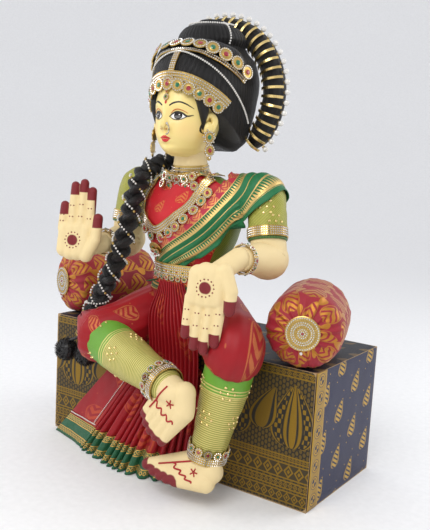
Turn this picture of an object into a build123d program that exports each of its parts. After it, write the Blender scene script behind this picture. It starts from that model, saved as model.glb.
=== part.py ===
from build123d import *
from math import cos, pi, radians, sin, sqrt, tan
import os

os.makedirs("parts", exist_ok=True)

# Frame: +Z up, the doll faces -Y, its left side is +X.
# Origin: centre of the seat box's bottom face. Everything is in millimetres.

# ---------------------------------------------------------------- driving sizes
seat_w, seat_d, seat_h = 441.0, 187.0, 180.0
board_t = 9.0
cover_t = 0.8
gap = 0.3

bolster_r, bolster_len = 48.0, 150.0
disc_r, disc_t = 21.5, 3.0
bolster_z = seat_h + gap + bolster_r
bolster_front = {"left": (205.0, -108.0), "right": (-222.0, -82.0)}
bolster_splay = {"left": 21.0, "right": -21.0}

axis_x, neck_y = 0.0, -70.0
shoulder = {"left": (111.0, -54.0, 384.0), "right": (-105.0, -54.0, 384.0)}
elbow = {"left": (129.0, -70.0, 305.0), "right": (-112.0, -66.0, 305.0)}
wrist = {"left": (127.0, -150.0, 311.0), "right": (-108.0, -134.0, 302.0)}
shoulder_r, elbow_r, wrist_r = 24.0, 27.5, 14.0
elbow_clear_r = 31.0
wrist_clear_r = 18.0
sleeve_end_r, forearm_root_r, forearm_end_r = 22.0, 17.0, 15.0

hip = {"left": (44.0, -46.0, 217.0), "right": (-44.0, -46.0, 217.0)}
knee = {"left": (130.0, -139.0, 206.0), "right": (-78.0, -142.0, 178.0)}
ankle = {"left": (106.0, -150.0, 60.0), "right": (64.0, -184.0, 149.0)}
hip_r, thigh_end_r, knee_r, shin_top_r, ankle_r = 33.0, 31.0, 35.0, 30.0, 22.0
knee_clear_r = 44.0

post_r, post_low, post_high = 5.0, 345.0, 500.0
neck_r, neck_low, neck_high = 24.0, 404.0, 426.0

halo_centre_z, halo_y = 515.0, -10.0
halo_major_r, halo_minor_r = 87.0, 15.0
halo_start_deg, halo_span_deg, halo_count = -50.0, 280.0, 38
pearl_r = 4.0

plait_r = 16.0
plait_route = [
    (-14.0, -26.0, 414.0),
    (-46.0, -36.0, 419.0),
    (-66.0, -64.0, 417.0),
    (-66.0, -99.0, 395.0),
    (-64.0, -116.0, 348.0),
    (-71.0, -122.0, 300.0),
    (-94.0, -122.0, 252.0),
    (-122.0, -117.0, 210.0),
    (-144.0, -116.0, 168.0),
]

# Cloth body, bottom to top: height, half width, half depth, centre in Y.
body_sections = [
    (180.4, 66.0, 48.0, -38.0),
    (205.0, 74.0, 54.0, -40.0),
    (240.0, 60.0, 44.0, -52.0),
    (278.0, 45.0, 35.0, -62.0),
    (318.0, 65.0, 44.0, -64.0),
    (350.0, 74.0, 47.0, -64.0),
    (380.0, 78.0, 36.0, -58.0),
    (396.0, 56.0, 30.0, -62.0),
    (404.0, 38.0, 28.0, -68.0),
]
body_x = 3.0
# Head without hair: height, half width, half depth, centre in Y.
head_sections = [
    (426.6, 14.0, 20.0, -92.0),
    (434.0, 27.0, 34.0, -88.0),
    (450.0, 36.5, 43.0, -84.0),
    (474.0, 40.0, 48.0, -80.0),
    (500.0, 40.0, 48.0, -79.0),
    (522.0, 34.0, 41.0, -78.0),
    (538.0, 20.0, 24.0, -77.0),
]
# Outside of the hair: height, half width, half depth, centre in Y.
hair_sections = [
    (438.0, 42.0, 32.0, -34.0),
    (450.0, 54.0, 48.0, -36.0),
    (470.0, 60.0, 62.0, -40.0),
    (500.0, 66.0, 74.0, -44.0),
    (530.0, 68.0, 78.0, -44.0),
    (556.0, 61.0, 69.0, -42.0),
    (572.0, 46.0, 52.0, -38.0),
]

made = []


# ---------------------------------------------------------------- helpers
def finish(part, name):
    """Labels a finished part and writes its file."""
    part.label = name
    export_step(part, f"parts/{name}.step")
    made.append(name)


def limb_plane(start, end):
    """A plane whose x axis runs from start to end."""
    along = Vector(*end) - Vector(*start)
    side = along.cross(Vector(0, 0, 1))
    if side.length < 0.001:
        side = Vector(1, 0, 0)
    return Plane(origin=start, x_dir=along, z_dir=side)


def point_between(start, end, share):
    """The point a given share of the way from start to end."""
    return tuple(a + (b - a) * share for a, b in zip(start, end))


def add_limb(start, end, start_r, end_r, ball_r=0.0, mode=Mode.ADD):
    """A tapered limb with round ends, whose starting ball may be wider than the limb."""
    length = (Vector(*end) - Vector(*start)).length
    place = limb_plane(start, end)
    c = cos(radians(45))
    ball_r = max(ball_r, start_r)
    slope = (end_r - start_r) / length
    # Where the limb's side leaves the ball.
    leave_x = (sqrt(ball_r**2 * (1 + slope**2) - start_r**2) - slope * start_r) / (1 + slope**2)
    leave_y = start_r + slope * leave_x
    with BuildSketch(place) as profile:
        with BuildLine():
            ThreePointArc((-ball_r, 0), (-ball_r * c, ball_r * c), (leave_x, leave_y))
            Line((leave_x, leave_y), (length, end_r))
            ThreePointArc((length, end_r), (length + end_r * c, end_r * c), (length + end_r, 0))
            Line((length + end_r, 0), (-ball_r, 0))
        make_face()
    revolve(profile.sketch, axis=Axis(place.origin, place.x_dir), mode=mode)


def add_ring(start, end, share, width, inner_r, outer_r):
    """A band round the limb that runs from start to end."""
    middle = point_between(start, end, share)
    along = Vector(*end) - Vector(*start)
    with BuildSketch(Plane(origin=middle, z_dir=along)) as ring:
        Circle(outer_r)
        Circle(inner_r, mode=Mode.SUBTRACT)
    extrude(ring.sketch, amount=width / 2, both=True)


def add_ball(centre, radius, mode=Mode.ADD):
    """A ball inside the current part."""
    with Locations(centre):
        Sphere(radius, mode=mode)


def add_form(sections, extra, mode=Mode.ADD):
    """A smooth closed form through elliptical sections, grown by extra all round."""
    centre_x = body_x if sections is body_sections else axis_x
    outlines = []
    for height, half_w, half_d, centre_y in sections:
        with BuildSketch(Plane.XY.offset(height)) as outline:
            with Locations((centre_x, centre_y)):
                Ellipse(half_w + extra, half_d + extra)
        outlines.append(outline.sketch)
    loft(outlines, mode=mode)


def add_skin(sections, inner, outer):
    """The shell between two sizes of the same form."""
    add_form(sections, outer)
    add_form(sections, inner, mode=Mode.SUBTRACT)


def keep_slab(centre, tilt, size):
    """Keeps only what lies inside a box that is tilted about X, Y and Z."""
    with Locations(Location(centre, tilt)):
        Box(*size, mode=Mode.INTERSECT)


# ---------------------------------------------------------------- seat box
inner_w = seat_w - 2 * cover_t
inner_d = seat_d - 2 * cover_t
inner_h = seat_h - cover_t

with BuildPart() as seat_boards:
    for height in (board_t / 2, inner_h - board_t / 2):
        with Locations((0, 0, height)):
            Box(inner_w, inner_d, board_t)
finish(seat_boards.part, "seat_boards")

with BuildPart() as seat_long_panels:
    for y in (-1, 1):
        with Locations((0, y * (inner_d - board_t) / 2, inner_h / 2)):
            Box(inner_w, board_t, inner_h - 2 * board_t)
finish(seat_long_panels.part, "seat_long_panels")

with BuildPart() as seat_end_panels:
    for x in (-1, 1):
        with Locations((x * (inner_w - board_t) / 2, 0, inner_h / 2)):
            Box(board_t, inner_d - 2 * board_t, inner_h - 2 * board_t)
finish(seat_end_panels.part, "seat_end_panels")

with BuildPart() as seat_cover_faces:
    for y in (-1, 1):
        with Locations((0, y * (seat_d - cover_t) / 2, inner_h / 2)):
            Box(seat_w, cover_t, inner_h)
finish(seat_cover_faces.part, "seat_cover_faces")

with BuildPart() as seat_cover_ends:
    for x in (-1, 1):
        with Locations((x * (seat_w - cover_t) / 2, 0, inner_h / 2)):
            Box(cover_t, inner_d, inner_h)
finish(seat_cover_ends.part, "seat_cover_ends")

with BuildPart() as seat_cover_top:
    with Locations((0, 0, seat_h - cover_t / 2)):
        Box(seat_w, seat_d, cover_t)
finish(seat_cover_top.part, "seat_cover_top")

strip_w, strip_t = 26.0, 0.5
with BuildPart() as seat_border_strips:
    for x in (-1, 1):
        with Locations((x * (seat_w + strip_t) / 2, -seat_d / 2 + strip_w / 2, seat_h / 2)):
            Box(strip_t, strip_w, seat_h)
finish(seat_border_strips.part, "seat_border_strips")


# ---------------------------------------------------------------- bolsters
def bolster_plane(side):
    """Origin on the front end's centre, x axis running back along the bolster."""
    x, y = bolster_front[side]
    turn = radians(bolster_splay[side])
    return Plane(origin=(x, y, bolster_z), x_dir=(-sin(turn), cos(turn), 0), z_dir=(0, 0, 1))


for side in ("left", "right"):
    place = bolster_plane(side)
    shoulder_len, crown = 17.0, 7.0
    with BuildPart() as bolster:
        with BuildSketch(place):
            with BuildLine():
                Line((0, 0), (0, disc_r))
                ThreePointArc((0, disc_r), (crown, bolster_r - 8), (shoulder_len, bolster_r))
                Line((shoulder_len, bolster_r), (bolster_len - shoulder_len, bolster_r))
                ThreePointArc(
                    (bolster_len - shoulder_len, bolster_r),
                    (bolster_len - crown, bolster_r - 8),
                    (bolster_len, disc_r),
                )
                Line((bolster_len, disc_r), (bolster_len, 0))
                Line((bolster_len, 0), (0, 0))
            make_face()
        revolve(axis=Axis(place.origin, place.x_dir))
    finish(bolster.part, f"bolster_{side}")

    with BuildPart() as bolster_discs:
        for start in (-disc_t, bolster_len):
            centre = place.origin + place.x_dir * start
            with BuildSketch(Plane(origin=centre, z_dir=place.x_dir)):
                Circle(disc_r)
            extrude(amount=disc_t)
    finish(bolster_discs.part, f"bolster_{side}_discs")


# ---------------------------------------------------------------- body
shoulder_bar_r = 14.0


def cut_shoulder_bar():
    """Opens a hole round the bar that carries both shoulders."""
    with Locations((body_x, shoulder["left"][1], shoulder["left"][2])):
        Cylinder(shoulder_bar_r + gap, seat_w, rotation=(0, 90, 0), mode=Mode.SUBTRACT)


with BuildPart() as torso:
    add_form(body_sections, 0)
    bar_len = shoulder["left"][0] - shoulder["right"][0] - 2 * (shoulder_r + gap)
    with Locations((body_x, shoulder["left"][1], shoulder["left"][2])):
        Cylinder(shoulder_bar_r, bar_len, rotation=(0, 90, 0))
    with Locations((axis_x, neck_y, (post_low + neck_low) / 2)):
        Cylinder(post_r, neck_low - post_low, mode=Mode.SUBTRACT)
    for side in ("left", "right"):
        add_limb(hip[side], knee[side], hip_r + gap, thigh_end_r + gap, mode=Mode.SUBTRACT)
finish(torso.part, "torso")

with BuildPart() as neck_post:
    with Locations((axis_x, neck_y, (post_low + post_high) / 2)):
        Cylinder(post_r, post_high - post_low)
finish(neck_post.part, "neck_post")

with BuildPart() as neck:
    with Locations((axis_x, neck_y, (neck_low + neck_high) / 2)):
        Cylinder(neck_r, neck_high - neck_low)
        Cylinder(post_r, neck_high - neck_low, mode=Mode.SUBTRACT)
finish(neck.part, "neck")

with BuildPart() as blouse:
    add_skin(body_sections, 0.4, 1.6)
    keep_slab((0, -60, 346), (0, 0, 0), (220, 160, 108))
    cut_shoulder_bar()
finish(blouse.part, "blouse")

# The sash end of the sari: over the left shoulder and down to the right of the waist.
pallu_tilt = -41.0
pallu_width = 50.0
with BuildPart() as pallu:
    add_skin(body_sections, 2.0, 3.6)
    keep_slab((52, -60, 346), (0, pallu_tilt, 0), (260, 160, pallu_width))
    keep_slab((20, -60, 350), (0, 0, 0), (200, 160, 130))
    cut_shoulder_bar()
finish(pallu.part, "pallu")

with BuildPart() as waist_belt:
    add_skin(body_sections, 4.0, 7.0)
    keep_slab((0, -60, 278), (0, 0, 0), (200, 160, 20))
finish(waist_belt.part, "waist_belt")

with BuildPart() as waist_sash:
    add_skin(body_sections, 1.0, 4.0)
    keep_slab((0, -60, 260), (0, 0, 0), (200, 160, 15))
finish(waist_sash.part, "waist_sash")

with BuildPart() as choker:
    with Locations((axis_x, neck_y, neck_low + 8)):
        Cylinder(neck_r + 3.5, 9)
        Cylinder(neck_r + gap, 9, mode=Mode.SUBTRACT)
finish(choker.part, "choker")

collar_r = 46.0
with BuildPart() as collar_necklace:
    add_skin(body_sections, 6.6, 8.2)
    keep_slab((0, -90, 388), (0, 0, 0), (220, 80, 32))
    with Locations((axis_x, neck_y - 4, 388)):
        Cylinder(collar_r, 40, mode=Mode.INTERSECT)
finish(collar_necklace.part, "collar_necklace")

with BuildPart() as long_necklace:
    add_skin(body_sections, 4.2, 6.2)
    with BuildSketch(Plane.XZ.offset(60)):
        with Locations((0, 354)):
            Ellipse(44, 58)
            Ellipse(32, 46, mode=Mode.SUBTRACT)
        with Locations((0, 300)):
            Circle(9)
    extrude(amount=90, mode=Mode.INTERSECT)
finish(long_necklace.part, "long_necklace")

# ---------------------------------------------------------------- sari below the waist
for side in ("left", "right"):
    with BuildPart() as thigh:
        add_limb(hip[side], point_between(hip[side], knee[side], 0.9), hip_r, thigh_end_r)
        add_ball(knee[side], knee_clear_r, mode=Mode.SUBTRACT)
        with Locations((0, 0, seat_h - 60)):
            Box(600, seat_d, 2 * (60 + gap), mode=Mode.SUBTRACT)
    finish(thigh.part, f"thigh_{side}")

pleat_top, pleat_low = 238.0, 128.0
with BuildPart() as sari_pleats:
    with BuildSketch(Plane.XY.offset(pleat_low)):
        with Locations((20, -110)):
            RectangleRounded(70, 10, 3)
    with BuildSketch(Plane.XY.offset(pleat_top)):
        with Locations((4, -110)):
            RectangleRounded(30, 10, 3)
    loft()
finish(sari_pleats.part, "sari_pleats")

# The lower skirt hangs from the lap in front of the box and spreads to the floor.
skirt_top_z, skirt_low_z, border_z = 120.0, 0.6, 34.0
skirt_t = 3.0
skirt_top = [(-104, -98.5), (-60, -101), (-20, -103), (20, -103), (56, -100)]
skirt_floor = [(-206, -101), (-152, -117), (-79, -140), (-9, -148), (62, -118)]


def add_skirt(low, high):
    """The skirt's sheet between two heights."""
    outlines = []
    for height in (low, high):
        share = (height - skirt_low_z) / (skirt_top_z - skirt_low_z)
        front = [
            (f[0] + (t[0] - f[0]) * share, f[1] + (t[1] - f[1]) * share)
            for f, t in zip(skirt_floor, skirt_top)
        ]
        back = [(x, y + skirt_t) for x, y in front]
        with BuildSketch(Plane.XY.offset(height)) as outline:
            with BuildLine():
                Spline(*front)
                Line(front[-1], back[-1])
                Spline(*reversed(back))
                Line(back[0], front[0])
            make_face()
        outlines.append(outline.sketch)
    loft(outlines, ruled=True)


with BuildPart() as skirt_fan:
    add_skirt(border_z, skirt_top_z)
finish(skirt_fan.part, "skirt_fan")

with BuildPart() as skirt_border:
    add_skirt(skirt_low_z, border_z)
finish(skirt_border.part, "skirt_border")

# ---------------------------------------------------------------- plait
route = [Vector(*p) for p in plait_route]
plait_radii = []
for before, here, after in zip(route, route[1:], route[2:]):
    run_in, run_out = here - before, after - here
    half_turn = radians(run_in.get_angle(run_out) / 2)
    plait_radii.append(0.45 * min(run_in.length, run_out.length) / tan(half_turn))
print("plait arc radii", [round(r) for r in plait_radii])

with BuildPart() as plait:
    with BuildLine():
        plait_line = FilletPolyline(*plait_route, radius=plait_radii)
    with BuildSketch(Plane(origin=plait_route[0], z_dir=plait_line % 0)):
        Circle(plait_r)
    sweep()
finish(plait.part, "plait")
plait_length = plait_line.length
volume_share = plait.part.volume / (pi * plait_r**2 * plait_length)
print("plait length", round(plait_length, 1), "volume share", round(volume_share, 4))

plait_end = Vector(*plait_route[-1])
end_direction = plait_line % 1
tie_len, pompom_r = 7.0, 18.5
with BuildPart() as plait_tie:
    with BuildSketch(Plane(origin=plait_end, z_dir=end_direction)):
        Circle(plait_r - 5)
    extrude(amount=tie_len)
finish(plait_tie.part, "plait_tie")

pompom_z = plait_route[-1][2] - tie_len - pompom_r - 6
with BuildPart() as plait_pompoms:
    for x in (-176.0, -136.0):
        add_ball((x, -117.0, pompom_z), pompom_r)
finish(plait_pompoms.part, "plait_pompoms")

# ---------------------------------------------------------------- head and hair
ear_z, ear_y, ear_x = 468.0, -92.0, 44.0


def add_ears(extra, mode=Mode.ADD):
    """Both ears as one bar through the head, grown by extra."""
    with BuildSketch(Plane.YZ.offset(-ear_x - extra)) as ear:
        with Locations((ear_y, ear_z)):
            Ellipse(7 + extra, 13 + extra)
    extrude(ear.sketch, amount=2 * (ear_x + extra), mode=mode)


with BuildPart() as head:
    add_form(head_sections, 0)
    add_ears(0)
    with Locations((0, -127, 462)):
        Cone(7, 2, 22)
    with Locations((axis_x, neck_y, (post_low + post_high) / 2)):
        Cylinder(post_r + gap, post_high - post_low + 2 * gap, mode=Mode.SUBTRACT)
finish(head.part, "head")

# The hairline is a slope from behind the ears up to the forehead.
hairline_tilt = -35.5
hairline_y, hairline_z = -93.5, 492.5
up_y, up_z = sin(radians(-hairline_tilt)), cos(radians(-hairline_tilt))


def keep_above_hairline(low, high):
    """Keeps what lies between two distances above the hairline's slope."""
    middle = (low + high) / 2
    centre = (0, hairline_y + up_y * middle, hairline_z + up_z * middle)
    keep_slab(centre, (hairline_tilt, 0, 0), (300, 400, high - low))


def halo_point(angle, radius):
    """A point of the halo's plane at an angle from +X."""
    a = radians(angle)
    return (radius * cos(a), halo_y, halo_centre_z + radius * sin(a))


def add_halo(extra, start_deg, span_deg, mode=Mode.ADD):
    """A stretch of the halo's roll, grown by extra."""
    a = radians(start_deg)
    start = halo_point(start_deg, halo_major_r)
    with BuildSketch(Plane(origin=start, x_dir=(0, 1, 0), z_dir=(-sin(a), 0, cos(a)))) as roll:
        Circle(halo_minor_r + extra)
    around = Axis((0, halo_y, halo_centre_z), (0, -1, 0))
    revolve(roll.sketch, axis=around, revolution_arc=span_deg, mode=mode)


halo_clear = 2.4
with BuildPart() as hair_cap:
    add_form(hair_sections, 0)
    keep_above_hairline(0, 300)
    add_form(head_sections, 0.4, mode=Mode.SUBTRACT)
    add_halo(halo_clear, 0, 360, mode=Mode.SUBTRACT)
    add_ears(0.6, mode=Mode.SUBTRACT)
    with Locations((axis_x, neck_y, (post_low + post_high) / 2)):
        Cylinder(post_r + gap, post_high - post_low + 2 * gap, mode=Mode.SUBTRACT)
finish(hair_cap.part, "hair_cap")

hair_trims = {
    "forehead_band": (0.5, 13.0, 3.0),
    "hair_pearl_chain": (30.0, 33.0, 2.5),
    "tiara": (46.0, 54.0, 4.0),
    "hair_ridge": (55.0, 72.0, 8.0),
}
for name, (low, high, thick) in hair_trims.items():
    with BuildPart() as trim:
        add_skin(hair_sections, gap, gap + thick)
        keep_above_hairline(low, high)
        keep_slab((0, halo_y - 125, 500), (0, 0, 0), (300, 210, 300))
        add_form(head_sections, 0.4, mode=Mode.SUBTRACT)
    finish(trim.part, name)

bun_sections = [
    (572.4, 44.0, 42.0, -36.0),
    (584.0, 46.0, 42.0, -35.0),
    (598.0, 37.0, 33.0, -36.0),
    (606.0, 19.0, 18.0, -38.0),
]
with BuildPart() as top_bun:
    add_form(bun_sections, 0)
    add_halo(halo_clear, 0, 360, mode=Mode.SUBTRACT)
finish(top_bun.part, "top_bun")


with BuildPart() as halo_roll:
    add_halo(0, halo_start_deg, halo_span_deg)
finish(halo_roll.part, "halo_roll")

halo_step = halo_span_deg / halo_count
with BuildPart() as halo_pins:
    for i in range(halo_count):
        angle = halo_start_deg + halo_step * (i + 0.5)
        a = radians(angle)
        place = Plane(origin=halo_point(angle, halo_major_r), x_dir=(0, -1, 0), z_dir=(-sin(a), 0, cos(a)))
        with BuildSketch(place):
            Circle(halo_minor_r + 1.8)
            Circle(halo_minor_r + gap, mode=Mode.SUBTRACT)
            with Locations((-20, 0)):
                Rectangle(40, 80, mode=Mode.SUBTRACT)
        extrude(amount=1.1, both=True)
finish(halo_pins.part, "halo_pins")

with BuildPart() as halo_pearls:
    for i in range(1, halo_count):
        angle = halo_start_deg + halo_step * i
        add_ball(halo_point(angle, halo_major_r + halo_minor_r + gap + pearl_r), pearl_r)
finish(halo_pearls.part, "halo_pearls")

with BuildPart() as tikka:
    with BuildSketch(Plane.XZ.offset(129)):
        with Locations((0, 503)):
            Ellipse(3.5, 7)
    extrude(amount=2)
finish(tikka.part, "tikka")

# ---------------------------------------------------------------- earrings
stud_z, drop_top_z, drop_h = 454.0, 446.5, 17.0
for side, x in (("left", 1), ("right", -1)):
    with BuildPart() as ear_stud:
        with BuildSketch(Plane.YZ.offset(x * 44.3)):
            with Locations((ear_y - 2, stud_z)):
                Circle(7)
        extrude(amount=x * 3)
    finish(ear_stud.part, f"ear_stud_{side}")

    with BuildPart() as earring:
        with BuildSketch(Plane.YZ.offset(x * 44.6)):
            with Locations((ear_y - 2, drop_top_z - drop_h / 2)):
                Ellipse(8, drop_h / 2)
        extrude(amount=x * 3)
    finish(earring.part, f"earring_{side}")

# ---------------------------------------------------------------- arms
for side in ("left", "right"):
    sleeve_end = point_between(shoulder[side], elbow[side], 0.85)
    with BuildPart() as upper_arm:
        add_limb(shoulder[side], sleeve_end, shoulder_r, sleeve_end_r)
        add_ball(elbow[side], elbow_clear_r, mode=Mode.SUBTRACT)
    finish(upper_arm.part, f"upper_arm_{side}")

    with BuildPart() as sleeve_cuff:
        add_ring(shoulder[side], elbow[side], 0.54, 10, shoulder_r + gap, shoulder_r + 2.2)
    finish(sleeve_cuff.part, f"sleeve_cuff_{side}")

    with BuildPart() as forearm:
        hand_end = point_between(elbow[side], wrist[side], 0.75)
        add_limb(elbow[side], hand_end, forearm_root_r, forearm_end_r, elbow_r)
        add_ball(wrist[side], wrist_clear_r, mode=Mode.SUBTRACT)
    finish(forearm.part, f"forearm_{side}")

    with BuildPart() as bangle:
        add_ring(elbow[side], wrist[side], 0.66, 7, forearm_root_r + 0.5, forearm_root_r + 3)
    finish(bangle.part, f"bangle_{side}")

# Hands: a palm block with four fingers and a thumb, all in the palm's own plane.
hands = {
    # palm centre, normal's turn from -Y about Z, lean of the fingers, fingers up or down, thumb side
    "left": ((116.0, -182.0, 280.0), 16.0, -6.0, -1, 1),
    "right": ((-124.0, -158.0, 308.0), 22.0, 4.0, 1, 1),
}
finger_r = 7.0
finger_spots = [(-19, 50), (-6.5, 63), (6.5, 67), (19, 53)]
for side in ("left", "right"):
    centre, turn, lean, up, thumb = hands[side]
    normal = Vector(sin(radians(turn)), -cos(radians(turn)), 0)
    across = Vector(cos(radians(turn)), sin(radians(turn)), 0)
    along = Vector(0, 0, up)

    def spot(x, y):
        """A point of the hand, x across the palm and y towards the fingers."""
        slope = y * tan(radians(lean))
        return tuple(Vector(*centre) + across * (x + slope) + along * y)

    with BuildPart() as hand:
        add_limb(spot(-13, -14), spot(-14, 16), 15, 12)
        add_limb(spot(12, -14), spot(14, 16), 15, 12)
        add_limb(spot(0, -18), spot(0, 18), 14, 12)
        for x, reach in finger_spots:
            add_limb(spot(x, 16), spot(x, 16 + reach - finger_r), finger_r, finger_r - 1)
        add_limb(spot(thumb * 18, -6), spot(thumb * 31, 24), 9, 7)
        add_limb(wrist[side], spot(thumb * 8, -10), wrist_r, wrist_r - 1)
    finish(hand.part, f"hand_{side}")

# ---------------------------------------------------------------- legs
anklet_share = {"left": 0.88, "right": 0.8}
for side in ("left", "right"):
    with BuildPart() as shin:
        add_limb(knee[side], ankle[side], shin_top_r, ankle_r, knee_r)
    finish(shin.part, f"shin_{side}")

    with BuildPart() as anklet:
        add_ring(knee[side], ankle[side], anklet_share[side], 14, ankle_r + 2.8, ankle_r + 5.4)
    finish(anklet.part, f"anklet_{side}")

feet = {
    # heel, toe, heel radius, toe radius
    "left": ((128.0, -158.0, 46.0), (46.0, -168.0, 40.0), 19.0, 17.0),
    "right": ((84.0, -188.0, 132.0), (50.0, -188.0, 104.0), 19.0, 21.0),
}
for side in ("left", "right"):
    heel, toe, heel_r, toe_r = feet[side]
    with BuildPart() as foot:
        add_limb(heel, toe, heel_r, toe_r)
        add_limb(knee[side], ankle[side], shin_top_r + gap, ankle_r + gap, mode=Mode.SUBTRACT)
    finish(foot.part, f"foot_{side}")

print(len(made), "nodes")
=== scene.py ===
import random
from bisect import bisect_right
from math import ceil, cos, hypot, pi, radians, sin, sqrt

import bmesh
import bpy
from mathutils import Matrix, Vector, noise
from mathutils.bvhtree import BVHTree


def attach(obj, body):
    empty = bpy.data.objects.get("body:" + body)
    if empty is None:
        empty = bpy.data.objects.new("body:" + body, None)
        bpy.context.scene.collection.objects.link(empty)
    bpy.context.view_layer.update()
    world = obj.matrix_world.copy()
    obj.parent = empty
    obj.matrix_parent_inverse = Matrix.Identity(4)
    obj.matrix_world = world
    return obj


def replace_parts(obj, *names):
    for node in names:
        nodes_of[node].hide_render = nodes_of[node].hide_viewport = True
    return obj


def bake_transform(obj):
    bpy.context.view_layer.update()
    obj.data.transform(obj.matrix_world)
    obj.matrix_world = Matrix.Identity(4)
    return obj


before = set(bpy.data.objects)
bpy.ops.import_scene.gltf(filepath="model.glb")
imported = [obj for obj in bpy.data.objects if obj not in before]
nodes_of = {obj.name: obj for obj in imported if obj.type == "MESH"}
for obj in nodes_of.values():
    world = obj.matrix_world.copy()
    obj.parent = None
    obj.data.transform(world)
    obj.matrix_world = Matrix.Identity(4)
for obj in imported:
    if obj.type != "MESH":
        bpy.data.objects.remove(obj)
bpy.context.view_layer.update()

# Frame: +Z up, the doll faces -Y, its left side is +X. Everything here is in
# millimetres, and MM turns it into Blender's metres.
MM = 0.001

# ---------------------------------------------------------------- sizes, as in the CAD
seat_w, seat_d, seat_h = 441.0, 187.0, 180.0
shoulder = {"left": (111, -54, 384), "right": (-105, -54, 384)}
elbow = {"left": (129, -70, 305), "right": (-112, -66, 305)}
wrist = {"left": (127, -150, 311), "right": (-108, -134, 302)}
hip = {"left": (44, -46, 217), "right": (-44, -46, 217)}
knee = {"left": (130, -139, 206), "right": (-78, -142, 178)}
ankle = {"left": (106, -150, 60), "right": (64, -184, 149)}
halo_y, halo_z, halo_r, halo_thick = -10.0, 515.0, 87.0, 15.0
halo_start, halo_span, halo_pins = -50.0, 280.0, 38
body_x = 3.0

# Height, half width, half depth, centre in Y.
body_sections = [
    (180.4, 66, 48, -38), (205, 74, 54, -40), (240, 60, 44, -52), (278, 45, 35, -62),
    (318, 65, 44, -64), (350, 74, 47, -64), (380, 78, 36, -58), (396, 56, 30, -62), (404, 38, 28, -68),
]
hair_sections = [
    (438, 42, 32, -34), (450, 54, 48, -36), (470, 60, 62, -40), (500, 66, 74, -44),
    (530, 68, 78, -44), (556, 61, 69, -42), (572, 46, 52, -38),
]
bun_sections = [
    (572.4, 44, 42, -36), (584, 46, 42, -35), (598, 37, 33, -36), (606, 19, 18, -38),
]
plait_route = [
    (-14, -26, 414), (-46, -36, 419), (-66, -64, 417), (-66, -99, 395), (-64, -116, 348),
    (-71, -122, 300), (-94, -122, 252), (-122, -117, 210), (-144, -116, 168),
]


# ---------------------------------------------------------------- camera, light, floor
def add_camera():
    """The photograph's view: 34 degrees to the doll's left, a little above, slightly rolled."""
    turn, pitch, roll = radians(34.25), radians(8.39), radians(3.24)
    ahead = Vector((-sin(turn) * cos(pitch), cos(turn) * cos(pitch), -sin(pitch)))
    right = ahead.cross(Vector((0, 0, 1))).normalized()
    up = right.cross(ahead)
    right, up = cos(roll) * right + sin(roll) * up, cos(roll) * up - sin(roll) * right
    camera = bpy.data.objects.new("camera", bpy.data.cameras.new("camera"))
    bpy.context.scene.collection.objects.link(camera)
    place = Matrix((right, up, -ahead)).transposed().to_4x4()
    place.translation = Vector((609.1, -894.2, 434.0)) * MM
    camera.matrix_world = place
    camera.data.sensor_width = 36.0
    camera.data.lens = 51.4
    bpy.context.scene.camera = camera


def add_lamp(name, at, watts):
    """A square soft lamp that points at the doll's waist."""
    lamp_size, aim = 900, (0, -60, 300)
    lamp = bpy.data.lights.new(name, "AREA")
    lamp.shape, lamp.size, lamp.energy = "SQUARE", lamp_size * MM, watts
    holder = bpy.data.objects.new(name, lamp)
    holder.location = Vector(at) * MM
    holder.rotation_mode = "QUATERNION"
    holder.rotation_quaternion = ((Vector(aim) - Vector(at)) * MM).to_track_quat("-Z", "Y")
    bpy.context.scene.collection.objects.link(holder)


def add_studio():
    """Soft lamps, an even pale surrounding and a pale floor that curves up far away."""
    for name, at, watts in (
        ("key_lamp", (300, -1300, 1300), 12), ("side_lamp", (-1300, -700, 700), 4), (
            "rear_lamp", (900, 900, 900), 5
        ),
    ):
        add_lamp(name, at, watts)
    world = bpy.data.worlds.new("world")
    world.use_nodes = True
    world.node_tree.nodes["Background"].inputs[0].default_value = (0.95, 0.96, 1.0, 1)
    world.node_tree.nodes["Background"].inputs[1].default_value = 0.84
    bpy.context.scene.world = world
    # The floor's profile in metres: flat, then curving up. Each pair is (radius, height).
    floor_mesh = bpy.data.meshes.new("floor")
    shape = [
        (1.0, 0.0), (2.2, 0.0), (2.7, 0.06), (3.2, 0.25), (3.6, 0.55), (3.9, 1.0), (4.1, 1.7),
        (4.2, 2.6),
    ]
    sides = 72
    verts, faces = [(0, 0, 0)], []
    for radius, height in shape:
        angles = [2 * pi * k / sides for k in range(sides)]
        verts += [(radius * cos(a), radius * sin(a), height) for a in angles]
    for k in range(sides):
        nxt = (k + 1) % sides
        faces.append((0, 1 + k, 1 + nxt))
        for ring in range(len(shape) - 1):
            a, b = 1 + ring * sides, 1 + (ring + 1) * sides
            faces.append((a + k, b + k, b + nxt, a + nxt))
    floor_mesh.from_pydata(verts, [], faces)
    floor_mesh.polygons.foreach_set("use_smooth", [True] * len(faces))
    floor_object = bpy.data.objects.new("floor", floor_mesh)
    bpy.context.scene.collection.objects.link(floor_object)
    floor_mesh.materials.append(plain("floor_paper", (0.96, 0.96, 0.96), 0.7))


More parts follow.
